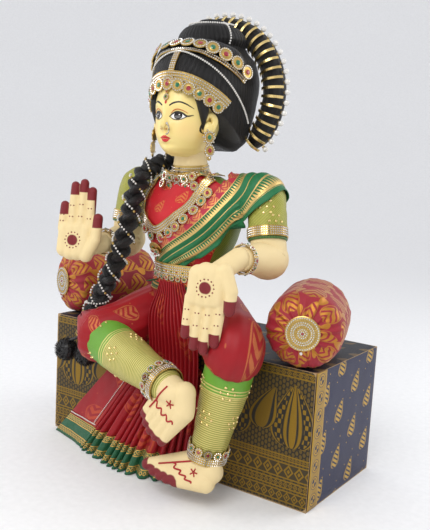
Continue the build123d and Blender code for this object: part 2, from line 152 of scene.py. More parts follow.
# ---------------------------------------------------------------- node arithmetic for materials
class Wire:
    """A value in a material's node tree, which can be used in ordinary arithmetic."""

    def __init__(self, tree, socket):
        self.tree, self.socket = tree, socket

    def math(self, operation, *others):
        node = self.tree.nodes.new("ShaderNodeMath")
        node.operation = operation
        for slot, value in zip(node.inputs, (self, *others)):
            if isinstance(value, Wire):
                self.tree.links.new(value.socket, slot)
            else:
                slot.default_value = value
        return Wire(self.tree, node.outputs[0])

    def __add__(self, other):
        return self.math("ADD", other)

    def __sub__(self, other):
        return self.math("SUBTRACT", other)

    def __mul__(self, other):
        return self.math("MULTIPLY", other)

    def __truediv__(self, other):
        return self.math("DIVIDE", other)

    def __rsub__(self, other):
        return (self * -1).math("ADD", other)

    def fract(self):
        return self.math("FRACT")

    def floor(self):
        return self.math("FLOOR")

    def abs(self):
        return self.math("ABSOLUTE")

    def sine(self):
        return self.math("SINE")

    def cosine(self):
        return self.math("COSINE")

    def root(self):
        return self.math("SQRT")

    def most(self, other):
        return self.math("MAXIMUM", other)

    def above(self, edge, soft):
        """1 where the value is over the edge, 0 under it, with a soft step."""
        clamp = ((self - edge) / soft + 0.5).math("ADD", 0.0)
        clamp.socket.node.use_clamp = True
        return clamp

    def below(self, edge, soft):
        """1 where the value is under the edge."""
        return (self * -1).above(-edge, soft)


class Cloth:
    """A material under construction. Its u and v are the mesh's UVs, in millimetres."""

    def __init__(self, name, colour, rough=0.6, sheen=0.0, metal=0.0, coat=0.0, specular=0.5):
        self.material = bpy.data.materials.new(name)
        self.material.use_nodes = True
        self.tree = self.material.node_tree
        self.shader = self.tree.nodes["Principled BSDF"]
        self.shader.inputs["Roughness"].default_value = rough
        self.shader.inputs["Metallic"].default_value = metal
        self.shader.inputs["Sheen Weight"].default_value = sheen
        self.shader.inputs["Coat Weight"].default_value = coat
        self.shader.inputs["Specular IOR Level"].default_value = specular
        self.colour = None
        self.flat = (*colour, 1)
        self.shader.inputs["Base Color"].default_value = self.flat

    def uv(self):
        node = self.tree.nodes.new("ShaderNodeUVMap")
        node.uv_map = "cut"
        split = self.tree.nodes.new("ShaderNodeSeparateXYZ")
        self.tree.links.new(node.outputs[0], split.inputs[0])
        return Wire(self.tree, split.outputs[0]), Wire(self.tree, split.outputs[1])

    def place(self):
        """Object coordinates, in millimetres."""
        node = self.tree.nodes.new("ShaderNodeTexCoord")
        split = self.tree.nodes.new("ShaderNodeSeparateXYZ")
        self.tree.links.new(node.outputs["Object"], split.inputs[0])
        return tuple(Wire(self.tree, split.outputs[i]) * 1000.0 for i in range(3))

    def noise(self, size, detail=2.0, stretch=(1, 1, 1)):
        """Smooth noise from 0 to 1 with features of about the given size."""
        node = self.tree.nodes.new("ShaderNodeTexNoise")
        coordinates = self.tree.nodes.new("ShaderNodeTexCoord")
        mapping = self.tree.nodes.new("ShaderNodeMapping")
        mapping.inputs["Scale"].default_value = stretch
        node.inputs["Scale"].default_value = 1000.0 / size
        node.inputs["Detail"].default_value = detail
        self.tree.links.new(coordinates.outputs["Object"], mapping.inputs[0])
        self.tree.links.new(mapping.outputs[0], node.inputs["Vector"])
        return Wire(self.tree, node.outputs["Fac"])

    def mixed(self):
        """A colour mix over what the material has so far: factor 0, first colour 6, second colour 7."""
        mix = self.tree.nodes.new("ShaderNodeMix")
        mix.data_type = "RGBA"
        if self.colour is None:
            mix.inputs[6].default_value = self.flat
        else:
            self.tree.links.new(self.colour, mix.inputs[6])
        self.colour = mix.outputs[2]
        self.tree.links.new(self.colour, self.shader.inputs["Base Color"])
        return mix

    def paint(self, share, colour):
        """Lays a colour over the material where share is 1."""
        mix = self.mixed()
        mix.inputs[7].default_value = (*colour, 1)
        self.tree.links.new(share.socket, mix.inputs[0])

    def vary(self, share, amount):
        """Darkens the colour by up to amount where share is 0."""
        mix = self.mixed()
        mix.blend_type = "MULTIPLY"
        mix.inputs[0].default_value = 1.0
        shade = self.tree.nodes.new("ShaderNodeCombineColor")
        level = share * amount + (1 - amount)
        for slot in shade.inputs:
            self.tree.links.new(level.socket, slot)
        self.tree.links.new(shade.outputs[0], mix.inputs[7])

    def drive(self, socket, share, low, high):
        """Runs a shader socket from low to high with share."""
        value = share * (high - low) + low
        self.tree.links.new(value.socket, self.shader.inputs[socket])

    def bump(self, height, depth):
        """A bump whose height is in millimetres."""
        node = self.tree.nodes.new("ShaderNodeBump")
        node.inputs["Strength"].default_value = 1.0
        node.inputs["Distance"].default_value = depth * MM
        self.tree.links.new(height.socket, node.inputs["Height"])
        self.tree.links.new(node.outputs[0], self.shader.inputs["Normal"])


def plain(name, colour, rough, **more):
    """A material with faint unevenness in colour and surface."""
    cloth = Cloth(name, colour, rough, **more)
    cloth.vary(cloth.noise(9.0, 3.0), 0.12)
    return cloth.material


def rgb(red, green, blue):
    """A colour given as on a screen, 0 to 255, as Blender's linear values."""
    return tuple(
        ((c / 255 + 0.055) / 1.055) ** 2.4 if c > 10 else c / 255 / 12.92 for c in (red, green, blue)
    )


# ---------------------------------------------------------------- mesh helpers
def make(name, verts, faces, materials, body=None, face_material=None, uvs=None, smooth=True):
    """A mesh piece from points in millimetres, which rides on a body."""
    mesh = bpy.data.meshes.new(name)
    mesh.from_pydata([tuple(Vector(p) * MM) for p in verts], [], faces)
    for material in materials if isinstance(materials, (list, tuple)) else [materials]:
        mesh.materials.append(material)
    if uvs:
        layer = mesh.uv_layers.new(name="cut")
        layer.data.foreach_set("uv", [c for uv in uvs for c in uv])
    if face_material:
        mesh.polygons.foreach_set("material_index", face_material)
    mesh.polygons.foreach_set("use_smooth", [smooth] * len(faces))
    mesh.update()
    piece = bpy.data.objects.new(name, mesh)
    bpy.context.scene.collection.objects.link(piece)
    if body:
        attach(piece, body)
    return piece


def outward(piece):
    """Turns every closed shell's faces outwards."""
    work = bmesh.new()
    work.from_mesh(piece.data)
    bmesh.ops.recalc_face_normals(work, faces=work.faces)
    work.to_mesh(piece.data)
    work.free()
    return piece


def modify(piece, kind, **settings):
    """Adds a modifier and applies it at once."""
    modifier = piece.modifiers.new(kind.lower(), kind)
    for key, value in settings.items():
        setattr(modifier, key, value)
    with bpy.context.temp_override(object=piece, active_object=piece, selected_objects=[piece]):
        bpy.ops.object.modifier_apply(modifier=modifier.name)


def lengths(points):
    """Running length along a list of points, starting at 0."""
    run = [0.0]
    for a, b in zip(points, points[1:]):
        run.append(run[-1] + (b - a).length)
    return run


def grid(name, rows, materials, body=None, closed=False, caps=False, thick=0.0, pick=None):
    """A sheet or tube through rows of points, with UVs in millimetres along it."""
    n, m = len(rows[0]), len(rows)
    middle = rows[m // 2]
    us = lengths([*middle, middle[0]] if closed else middle)
    vs = lengths([row[n // 2] for row in rows])
    verts = [p for row in rows for p in row]
    faces, uvs, picked = [], [], []
    for i in range(m - 1):
        for j in range(n if closed else n - 1):
            k = (j + 1) % n
            faces.append((i * n + j, i * n + k, (i + 1) * n + k, (i + 1) * n + j))
            uvs += [(us[j], vs[i]), (us[j + 1], vs[i]), (us[j + 1], vs[i + 1]), (us[j], vs[i + 1])]
            picked.append(pick(i / (m - 1), j / n) if pick else 0)
    if caps:
        for ends in (range(n - 1, -1, -1), range((m - 1) * n, m * n)):
            faces.append(tuple(ends))
            uvs += [(us[e % n], vs[0 if e < n else m - 1]) for e in ends]
            picked.append(0)
    piece = make(name, verts, faces, materials, body, picked, uvs)
    if caps:
        outward(piece)
    if thick:
        modify(piece, "SOLIDIFY", thickness=thick * MM, offset=0.0)
    return piece


def ring_faces(rings, sides):
    """The four-sided faces between rings of points that follow each other."""
    return [
        (i * sides + j, i * sides + (j + 1) % sides, (i + 1) * sides + (j + 1) % sides, (i + 1) * sides + j)
        for i in range(rings - 1)
        for j in range(sides)
    ]


def tree_of(piece):
    """A piece's finished surface, for finding points on it."""
    return BVHTree.FromObject(piece, bpy.context.evaluated_depsgraph_get())


def nearest_on(names):
    """A function that gives the nearest point of some finished pieces, with its normal."""
    trees = [tree_of(bpy.data.objects[name]) for name in names]

    def nearest(p):
        hits = [tree.find_nearest(Vector(p) * MM) for tree in trees]
        at, normal, _, _ = min(hits, key=lambda hit: hit[3])
        return at / MM, normal

    return nearest


def smooth_line(points, steps):
    """A Catmull-Rom curve through points, which may carry a radius as a fourth number."""
    points = [tuple(p) for p in points]
    points = [points[0], *points, points[-1]]
    out = []
    for p0, p1, p2, p3 in zip(points, points[1:], points[2:], points[3:]):
        for i in range(steps):
            t = i / steps
            out.append(tuple(
                0.5 * (
                    2 * b + (c - a) * t + (2 * a - 5 * b + 4 * c - d) * t**2 + (3 * b - a - 3 * c + d) * t**3
                )
                for a, b, c, d in zip(p0, p1, p2, p3)
            ))
    out.append(points[-1])
    return out


def frames_along(points):
    """Tangent and two steady sideways directions at each point of a line."""
    tangents = []
    for i in range(len(points)):
        a, b = points[max(i - 1, 0)], points[min(i + 1, len(points) - 1)]
        tangents.append((b - a).normalized())
    side = tangents[0].cross(Vector((0, 0, 1)))
    if side.length < 0.1:
        side = tangents[0].cross(Vector((0, 1, 0)))
    side.normalize()
    out = []
    for tangent in tangents:
        side = (side - tangent * side.dot(tangent)).normalized()
        out.append((tangent, side, tangent.cross(side)))
    return out


def tube_rows(controls, steps, around, shape=None):
    """Rings round a smooth line whose controls are (x, y, z, radius)."""
    line = smooth_line(controls, steps)
    points = [Vector(p[:3]) for p in line]
    rows = []
    for i, ((_, side, up), point) in enumerate(zip(frames_along(points), points)):
        t = i / (len(points) - 1)
        ring = []
        for j in range(around):
            a = 2 * pi * j / around
            r = line[i][3] * (shape(t, a) if shape else 1.0)
            ring.append(point + side * (r * cos(a)) + up * (r * sin(a)))
        rows.append(ring)
    return rows


def crumple(point, size, depth):
    """How far soft wrinkles lift a point of cloth."""
    return (noise.noise(Vector(point) / size) + 0.5 * noise.noise(Vector(point) * 2.1 / size)) * depth


def rounded(rows, share=0.6):
    """Closes a tube's ends with three shrinking rings each."""
    out = []
    for ring, inward in ((rows[0], -1), (rows[-1], 1)):
        middle = sum(ring, Vector()) / len(ring)
        nxt = rows[1] if inward < 0 else rows[-2]
        along = (middle - sum(nxt, Vector()) / len(nxt)).normalized()
        radius = (ring[0] - middle).length
        extra = []
        for k in (1, 2, 3):
            a = k * pi / 6.6
            extra.append([middle + (p - middle) * cos(a) + along * (radius * share * sin(a)) for p in ring])
        out.append(extra)
    return [*reversed(out[0]), *rows, *out[1]]


# ---------------------------------------------------------------- forms that clothes lie on
def at_height(sections, z):
    """Half width, half depth and centre of a form at a height, smoothly between its sections."""
    heights = [s[0] for s in sections]
    i = min(max(bisect_right(heights, z) - 1, 0), len(sections) - 2)
    p = [sections[max(min(k, len(sections) - 1), 0)] for k in (i - 1, i, i + 1, i + 2)]
    t = min(max((z - p[1][0]) / (p[2][0] - p[1][0]), -0.3), 1.3)
    return [
        0.5 * (2 * b + (c - a) * t + (2 * a - 5 * b + 4 * c - d) * t**2 + (3 * b - a - 3 * c + d) * t**3)
        for a, b, c, d in zip(p[0][1:], p[1][1:], p[2][1:], p[3][1:])
    ]


class Form:
    """A closed form through elliptical sections. Its turn is 0 in front and grows to the left."""

    def __init__(self, sections, centre_x):
        self.sections, self.centre_x = sections, centre_x

    def at(self, turn, z, extra=0.0):
        half_w, half_d, centre_y = at_height(self.sections, z)
        a = radians(turn)
        return Vector((self.centre_x + (half_w + extra) * sin(a), centre_y - (half_d + extra) * cos(a), z))

    def normal(self, turn, z):
        across = self.at(turn + 1, z) - self.at(turn - 1, z)
        upward = self.at(turn, z + 1) - self.at(turn, z - 1)
        return across.cross(upward).normalized()


body_form = Form(body_sections, body_x)
hair_form = Form(hair_sections, 0.0)
bun_form = Form(bun_sections, 0.0)

# The hairline is a slope from behind the ears up to the forehead.
slope_up = Vector((0, sin(radians(35.5)), cos(radians(35.5))))
slope_at = Vector((0, -93.5, 492.5))


def on_hair(turn, rise, extra=0.0):
    """A point of the hair at a distance above the hairline's slope, with its normal."""
    low, high = 430.0, 572.0
    for _ in range(24):
        z = (low + high) / 2
        if (hair_form.at(turn, z) - slope_at).dot(slope_up) < rise:
            low = z
        else:
            high = z
    normal = hair_form.normal(turn, z)
    return hair_form.at(turn, z) + normal * extra, normal


# ---------------------------------------------------------------- materials
def tile(u, v, width, height):
    """Each point's place in its tile of cloth, -1 to 1. Every other column is shifted by half a tile."""
    column = u / width
    shifted = v / height + (column.floor() * 0.5).fract()
    return (column.fract() - 0.5) * 2.0, (shifted.fract() - 0.5) * 2.0


def drop(x, y, wide, high, lean=0.0):
    """How far out a point is in an upright drop with a bent tip: 0 in the middle, 1 on its edge."""
    t = y / high
    bent = x - (t + 1.0) * (t + 1.0) * lean
    span = ((1.0 - t * t).most(0.0001)).root() * (1.25 - t * 0.75) * wide
    inside = (bent.abs() / span).most(0.0)
    return inside + (t.abs().above(0.98, 0.02)) * 2.0


def round_spot(x, y, across, upward):
    """Distance from a tile's middle as a share of an ellipse."""
    return ((x / across) * (x / across) + (y / upward) * (y / upward)).root()


def weave(cloth, u, v, pitch, depth, relief=None):
    """Fine woven ribs, with any raised pattern on top."""
    ribs = (u * (2 * pi / pitch)).sine() * (v * (2 * pi / pitch)).sine()
    height = ribs * 0.5 + 0.5
    if relief:
        height = height * 0.4 + relief
    cloth.bump(height, depth)


def silk(name, colour, figure, width, height):
    """Soft silk with woven mangoes and small dots."""
    cloth = Cloth(name, colour, 0.5, sheen=0.04, specular=0.35)
    u, v = cloth.uv()
    cloth.vary(cloth.noise(30.0, 3.0), 0.35)
    x, y = tile(u, v, width, height)
    out = drop(x, y, 0.34, 0.56, 0.12)
    ring = out.below(1.0, 0.08) - out.below(0.84, 0.08)
    veins = (y * 22.0 + x.abs() * 13.0).sine().above(-0.1, 0.5)
    share = ring.most(out.below(0.72, 0.08) * veins) * (cloth.noise(2.2, 2.0).above(0.3, 0.2))
    dot_x, dot_y = tile(u + width * 0.5, v, width * 0.5, height * 0.5)
    share = share.most(round_spot(dot_x, dot_y, 0.08, 0.07).below(1.0, 0.3) * 0.6)
    cloth.paint(share, figure)
    cloth.drive("Metallic", share, 0.0, 0.55)
    weave(cloth, u, v, 1.1, 0.12, share * 0.6)
    return cloth.material


def leaf_brocade(name, colour, figure, size):
    """Heavy brocade covered with leaves in metallic thread."""
    cloth = Cloth(name, colour, 0.55, sheen=0.04)
    u, v = cloth.uv()
    x, y = tile(u, v, size, size * 1.15)
    leaf = drop(x, y, 0.55, 0.9, 0.16)
    veins = ((y * 14.0 + x.abs() * 9.0).sine()).above(-0.35, 0.5)
    share = leaf.below(1.0, 0.08) * veins
    share = share.most((leaf.below(1.16, 0.06) - leaf.below(1.04, 0.06)) * 0.9)
    sprig_x, sprig_y = tile(u + size * 0.5, v, size, size * 1.15)
    sprig = drop(sprig_x, sprig_y * -1.0, 0.24, 0.42, -0.1)
    share = share.most(sprig.below(1.0, 0.12))
    thread = (v * (2 * pi / 0.9)).sine() * 0.15 + 0.85
    cloth.paint(share * thread, figure)
    cloth.drive("Metallic", share, 0.0, 0.6)
    cloth.drive("Roughness", share, 0.62, 0.36)
    weave(cloth, u, v, 0.9, 0.15, share * 0.8)
    return cloth.material


def striped(name, colour, line, pitch, slant, share=0.35):
    """Cloth with fine metallic lines across it."""
    cloth = Cloth(name, colour, 0.45, sheen=0.04)
    u, v = cloth.uv()
    cloth.vary(cloth.noise(25.0, 2.0), 0.15)
    wave = ((v + u * slant) * (2 * pi / pitch)).sine()
    lines = wave.above(1 - 2 * share, 0.5)
    cloth.paint(lines, line)
    cloth.drive("Metallic", lines, 0.05, 0.35)
    weave(cloth, u, v, 0.9, 0.12, lines * 0.7)
    return cloth.material


def zari(name, ground, thread, bands):
    """A border's cloth: bands across v, each (low, high, kind), in gold thread on a ground colour."""
    cloth = Cloth(name, ground, 0.5, sheen=0.04)
    u, v = cloth.uv()
    total = None
    for low, high, kind in bands:
        inside = v.above(low, 0.3) * v.below(high, 0.3)
        if kind == "solid":
            figure = inside
        elif kind == "zigzag":
            saw = ((u / 3.6).fract() - 0.5).abs() * (2 * (high - low)) + low
            figure = inside * (v - saw).above(0.0, 0.5)
        elif kind == "chain":
            x = ((u / 5.0).fract() - 0.5) * 2.0
            y = (v - (low + high) / 2) / ((high - low) / 2)
            spot = round_spot(x, y, 0.85, 0.85)
            figure = inside * (spot.below(1.0, 0.15) - spot.below(0.5, 0.15))
        else:
            figure = inside * ((u + v * 2.0) * (2 * pi / 1.6)).sine().above(0.2, 0.4) * 0.55
        total = figure if total is None else total.most(figure)
    cloth.paint(total, thread)
    cloth.drive("Metallic", total, 0.0, 0.65)
    cloth.drive("Roughness", total, 0.55, 0.34)
    weave(cloth, u, v, 0.8, 0.15, total)
    return cloth.material


gold = (0.62, 0.43, 0.14)
skin_colour = rgb(236, 212, 158)
face_colour = rgb(236, 212, 134)
dye_red = rgb(118, 14, 22)


def skin_material(name, marks=(), dips=()):
    """Tight cream cotton with dyed marks and dipped ends.

    A mark is (centre, radius). A dip is (start, direction across, direction onward, half width).
    """
    cloth = Cloth(name, skin_colour, 0.62, sheen=0.04)
    x, y, z = cloth.place()
    cloth.vary(cloth.noise(18.0, 3.0), 0.08)
    for centre, radius in marks:
        dx, dy, dz = x - centre[0], y - centre[1], z - centre[2]
        away = (dx * dx + dy * dy + dz * dz).root()
        cloth.paint(away.below(radius, 1.2), dye_red)
    for start, across, onward, half in dips:
        gap = (x - start[0], y - start[1], z - start[2])
        beside = gap[0] * across[0] + gap[1] * across[1] + gap[2] * across[2]
        beyond = gap[0] * onward[0] + gap[1] * onward[1] + gap[2] * onward[2]
        cloth.paint(beside.abs().below(half, 0.8) * beyond.above(0.0, 0.8), dye_red)
    threads = (x * (2 * pi / 0.7)).sine() * (z * (2 * pi / 0.7)).sine()
    cloth.bump(threads * 0.5 + cloth.noise(3.0, 2.0), 0.10)
    return cloth.material


def hair_material(name, along_u=False):
    """Combed black thread: fine lines along the cloth's length."""
    cloth = Cloth(name, (0.006, 0.005, 0.005), 0.38, specular=0.5)
    u, v = cloth.uv()
    across = v if along_u else u
    coarse = (across * (2 * pi / 1.3)).sine() * 0.35
    lines = coarse + (across * (2 * pi / 0.57) + cloth.noise(8.0) * 6.0).sine() * 0.65
    cloth.paint(lines.above(0.3, 0.8) * 0.5, (0.03, 0.027, 0.025))
    cloth.bump(lines, 0.35)
    return cloth.material


def metal_material(name, colour, rough):
    """Polished or stamped metal with small dents."""
    cloth = Cloth(name, colour, rough, metal=1.0)
    cloth.vary(cloth.noise(2.5, 2.0), 0.15)
    cloth.bump(cloth.noise(1.2, 2.0), 0.08)
    return cloth.material


def stone_material(name, colour, metal=0.0):
    """A faceted stone: bright, glossy, with a little change from stone to stone."""
    cloth = Cloth(name, colour, 0.08, metal=metal, coat=1.0)
    cloth.vary(cloth.noise(3.0, 1.0), 0.35)
    return cloth.material


gold_metal = metal_material("gold_setting", gold, 0.28)
wire_gold = metal_material("gold_wire", (0.88, 0.68, 0.30), 0.25)
clear_stone = stone_material("clear_stone", (0.80, 0.79, 0.74), 0.75)
green_stone = stone_material("green_stone", (0.0, 0.16, 0.06))
red_stone = stone_material("red_stone", (0.35, 0.005, 0.02))
black_stone = stone_material("black_stone", (0.01, 0.01, 0.012))
pearl_white = stone_material("pearl", (0.85, 0.82, 0.76))
jewel_materials = [gold_metal, clear_stone, green_stone, red_stone, black_stone, pearl_white, wire_gold]
GOLD, CLEAR, GREEN, RED, BLACK, PEARL, WIRE = range(7)

black_hair = hair_material("hair_thread")
cream_skin = skin_material("skin_cotton")
sari_silk = silk("sari_silk", rgb(164, 8, 22), rgb(190, 106, 62), 56.0, 62.0)
pleat_silk = silk("pleat_silk", rgb(160, 6, 20), rgb(180, 70, 46), 70.0, 80.0)
blouse_red = silk("blouse_red", rgb(206, 28, 38), rgb(208, 122, 66), 30.0, 34.0)
olive_silk = striped("olive_silk", rgb(128, 138, 40), rgb(190, 178, 84), 1.9, 0.5)
# The blouse's sides: the sleeves' olive stripe painted darker and greener, as shade under the arms.
shaded_side_silk = striped("shaded_side_silk", rgb(74, 104, 26), rgb(130, 140, 48), 1.9, 0.5)
deep_green = striped("deep_green_silk", rgb(8, 92, 48), rgb(120, 136, 50), 2.0, 0.3, 0.22)


# ---------------------------------------------------------------- seat box
def box_cover(name, faces_wanted, material, node):
    """Cloth glued round the box: soft edges and a slight unevenness, for the sides asked for."""
    step = 6.0
    half = Vector((seat_w / 2, seat_d / 2, seat_h / 2))
    edge_r = 3.0
    verts, faces, uvs = [], [], []
    for axis, sign in faces_wanted:
        a, b = [k for k in range(3) if k != axis]
        na, nb = ceil(2 * half[a] / step), ceil(2 * half[b] / step)
        start = len(verts)
        for i in range(na + 1):
            for j in range(nb + 1):
                p = Vector((0, 0, 0))
                p[axis] = sign * half[axis]
                p[a] = -half[a] + 2 * half[a] * i / na
                p[b] = -half[b] + 2 * half[b] * j / nb
                core = Vector([max(min(c, h - edge_r), edge_r - h) for c, h in zip(p, half)])
                off = p - core
                p = core + off.normalized() * edge_r if off.length > 0 else p
                inner = min(half[a] - abs(p[a]), half[b] - abs(p[b]))
                p[axis] += sign * crumple(p + Vector((0, 0, 400)), 26.0, 0.35) * min(inner / 12.0, 1.0)
                verts.append(p + Vector((0, 0, seat_h / 2 + 0.01)))
        for i in range(na):
            for j in range(nb):
                k = start + i * (nb + 1) + j
                faces.append((k, k + nb + 1, k + nb + 2, k + 1))
                for di, dj in ((0, 0), (1, 0), (1, 1), (0, 1)):
                    uvs.append((2 * half[a] * (i + di) / na, 2 * half[b] * (j + dj) / nb))
    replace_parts(make(name, verts, faces, material, "seat", uvs=uvs), node)


def front_brocade():
    """Old gold brocade: large drops ringed by mangoes above dense bands."""
    cloth = Cloth("front_brocade", rgb(24, 20, 8), 0.5)
    u, v = cloth.uv()
    lattice_x, lattice_y = tile(u, v, 5.0, 7.0)
    ground = round_spot(lattice_x, lattice_y, 0.8, 0.8).below(1.0, 0.25) * 0.55
    threads = (v * (2 * pi / 1.4)).sine() * 0.25 + 0.75
    x = ((u / 92.0).fract() - 0.5) * 2.0
    y = (v - 118.0) / 52.0
    big = drop(x, y, 0.40, 0.80, 0.0)
    share = ground * threads
    share = share * (1.0 - big.below(1.25, 0.06))
    share = share.most(big.below(1.22, 0.04) - big.below(1.12, 0.04))
    petals = ((y * 26.0).sine() * (x * 30.0).cosine()).above(0.1, 0.3)
    share = share.most((big.below(1.0, 0.05) - big.below(0.62, 0.05)) * petals)
    share = share.most(big.below(0.5, 0.06) - big.below(0.32, 0.06))
    share = share.most(big.below(0.2, 0.05))
    side_x = ((u / 92.0 + 0.5).fract() - 0.5) * 2.0
    mango = drop(side_x, (v - 122.0) / 46.0, 0.26, 0.62, 0.1)
    share = share * (1.0 - mango.below(1.2, 0.06))
    share = share.most(mango.below(1.12, 0.05) - mango.below(0.9, 0.05))
    share = share.most(mango.below(0.6, 0.08) * threads)
    for low, high, wide in ((6, 20, 11.0), (24, 33, 7.0), (37, 56, 15.0), (60, 66, 5.0), (168, 176, 8.0)):
        band = v.above(low, 0.5) * v.below(high, 0.5)
        bx = ((u / wide).fract() - 0.5) * 2.0
        by = (v - (low + high) / 2) / ((high - low) / 2)
        spot = bx.abs() + by.abs()
        figure = (spot.below(0.95, 0.08) - spot.below(0.6, 0.08)).most(spot.below(0.32, 0.08))
        share = share * (1.0 - band) + band * figure.most(0.12)
        for edge in (low, high):
            share = share.most((v - edge).abs().below(0.9, 0.4))
    cloth.paint(share, rgb(142, 110, 34))
    cloth.drive("Metallic", share, 0.0, 0.7)
    cloth.drive("Roughness", share, 0.6, 0.34)
    weave(cloth, u, v, 1.0, 0.18, share)
    return cloth.material


def navy_brocade():
    """Navy silk with scattered gold mangoes and small dots."""
    cloth = Cloth("navy_brocade", rgb(12, 16, 62), 0.45)
    u, v = cloth.uv()
    cloth.vary(cloth.noise(40.0, 2.0), 0.3)
    x, y = tile(u - 6.0, v + 10.0, 44.0, 62.0)
    out = drop(x, y, 0.34, 0.50, 0.12)
    veins = ((y * 30.0 + x * 12.0).sine()).above(-0.3, 0.4)
    share = (out.below(1.0, 0.06) - out.below(0.82, 0.06)).most(out.below(0.7, 0.06) * veins)
    dot_x, dot_y = tile(u + 16.0, v, 22.0, 31.0)
    share = share.most(round_spot(dot_x, dot_y, 0.08, 0.06).below(1.0, 0.3))
    cloth.paint(share, rgb(196, 158, 70))
    cloth.drive("Metallic", share, 0.0, 0.7)
    weave(cloth, u, v, 1.0, 0.15, share)
    return cloth.material


def strip_material():
    """Gold floral border with navy showing through."""
    cloth = Cloth("floral_strip", rgb(24, 26, 60), 0.45)
    u, v = cloth.uv()
    x = (u / 26.0 - 0.5) * 2.0
    y = ((v / 22.0).fract() - 0.5) * 2.0
    angle_wave = ((x * 7.0).sine() * (y * 7.0).sine()).above(-0.05, 0.3)
    flower = round_spot(x, y, 0.62, 0.72)
    share = (flower.below(1.0, 0.08) - flower.below(0.72, 0.08)).most(flower.below(0.6, 0.08) * angle_wave)
    share = share.most(x.abs().above(0.84, 0.06)).most(flower.above(1.1, 0.1) * 0.8)
    cloth.paint(share, rgb(188, 150, 62))
    cloth.drive("Metallic", share, 0.0, 0.7)
    weave(cloth, u, v, 0.9, 0.2, share)
    return cloth.material


def add_seat():
    """The box's cloth, its border strips and its boards."""
    box_cover("seat_cloth_faces", [(1, -1), (1, 1)], front_brocade(), "seat_cover_faces")
    box_cover("seat_cloth_ends", [(0, -1), (0, 1)], navy_brocade(), "seat_cover_ends")
    box_cover("seat_cloth_top", [(2, 1)], shaded_navy_top(), "seat_cover_top")
    strips = strip_material()
    for side in (-1, 1):
        rows = []
        for i in range(46):
            z = 3.0 + (seat_h - 4.0) * i / 45
            rows.append([
                Vector((
                    side * (seat_w / 2 + 0.5 + crumple((y, z, side * 90), 14.0, 0.25)), -seat_d / 2 + 1.5 + y, z
                ))
                for y in [26.0 * j / 8 for j in range(9)]
            ])
        strip = grid(f"seat_strip_{'left' if side > 0 else 'right'}", rows, strips, "seat", thick=0.5)
        if side > 0:
            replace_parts(strip, "seat_border_strips")
    board = Cloth("board_wood", rgb(176, 146, 104), 0.7)
    grain = board.noise(6.0, 4.0, (0.08, 1, 1))
    board.vary(grain, 0.35)
    board.bump(grain, 0.15)
    for node in ("seat_boards", "seat_long_panels", "seat_end_panels"):
        set_material(node, board.material)


def shaded_navy_top():
    """The same navy silk, painted darker on top as shade under the doll and bolsters, and plainer."""
    # The ground is darker than the ends' navy: painted shade.
    cloth = Cloth("shaded_navy_top", rgb(12, 14, 34), 0.55)
    u, v = cloth.uv()
    x, y = tile(u, v, 30.0, 34.0)
    share = drop(x, y, 0.3, 0.45, 0.12).below(1.0, 0.1)
    cloth.paint(share * 0.5, rgb(150, 120, 60))
    cloth.vary(cloth.noise(30.0, 2.0), 0.3)
    weave(cloth, u, v, 1.0, 0.15, share)
    return cloth.material


def set_material(node, material):
    """Gives a carried-over CAD node its finished material."""
    mesh = nodes_of[node].data
    mesh.materials.clear()
    mesh.materials.append(material)


# ---------------------------------------------------------------- bolsters
bolster_r, bolster_len, disc_r = 48.0, 150.0, 21.5
bolster_front = {"left": (205.0, -108.0), "right": (-222.0, -82.0)}
bolster_splay = {"left": 21.0, "right": -21.0}


def bolster_axes(side):
    """Front end's centre, the direction back along the bolster, and the direction across."""
    x, y = bolster_front[side]
    a = radians(bolster_splay[side])
    back = Vector((-sin(a), cos(a), 0))
    return Vector((x, y, seat_h + 0.3 + bolster_r)), back, Vector((0, 0, 1)).cross(back)


def add_bolster(side, cloth):
    """A stuffed roll, gathered at both ends, with its stone discs."""
    centre, back, across = bolster_axes(side)
    up = Vector((0, 0, 1))
    around, rows = 144, []
    profile = [
        (0.6, 6), (0.2, 14), (0.5, 20), (2.2, 26), (4.5, 32), (8.5, 39), (13.5, 44), (20, 47), (32, 48.4),
        (50, 48.8), (64, 49), (75, 49), (86, 49), (100, 48.8), (118, 48.4), (130, 47), (136.5, 44), (
            141.5, 39
        ),
        (145.5, 32), (147.8, 26), (149.5, 20), (149.8, 14), (149.4, 6),
    ]
    for s, r in smooth_line(profile, 3):
        ring = []
        near = min(s, bolster_len - s)
        gather = max(0.0, 1 - near / 34.0)
        for j in range(around):
            a = 2 * pi * j / around
            fold = cos(17 * a + 2.2 * sin(2 * a)) * 0.7 + cos(31 * a + 1.3) * 0.35
            swell = r + fold * gather * 1.9 * min(r / 30.0, 1.0)
            p = centre + back * (s - fold * gather * 1.1) + (across * cos(a) + up * sin(a)) * swell
            p += (across * cos(a) + up * sin(a)) * crumple(p, 24.0, 1.0) * min(near / 20.0, 1.0)
            p.z = max(p.z, seat_h + 0.6)
            ring.append(p)
        rows.append(ring)
    roll = grid(f"bolster_roll_{side}", rows, cloth, f"bolster_{side}", closed=True, caps=True)
    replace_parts(roll, f"bolster_{side}")
    discs = Jewels()
    for start, out in ((0.0, -back), (bolster_len, back)):
        middle = centre + back * start + out * 0.6
        side_way = across if out == -back else -across
        discs.plate(middle, out, disc_r, 1.2)
        for ring_r, count, kind in ((2.6, 6, CLEAR), (5.4, 13, CLEAR), (8.2, 19, GOLD), (11.0, 26, CLEAR),
                                    (13.8, 32, CLEAR), (16.4, 38, GOLD), (19.2, 42, CLEAR)):
            for i in range(count):
                a = 2 * pi * i / count
                at = middle + out * 1.2 + (side_way * cos(a) + up * sin(a)) * ring_r
                discs.stone(at, out, 1.3, kind)
        discs.stone(middle + out * 1.4, out, 1.8, RED)
        discs.pearl(middle + out * 2.0 - up * (disc_r + 2.5), 2.0)
    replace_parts(discs.piece(f"bolster_stones_{side}", f"bolster_{side}"), f"bolster_{side}_discs")


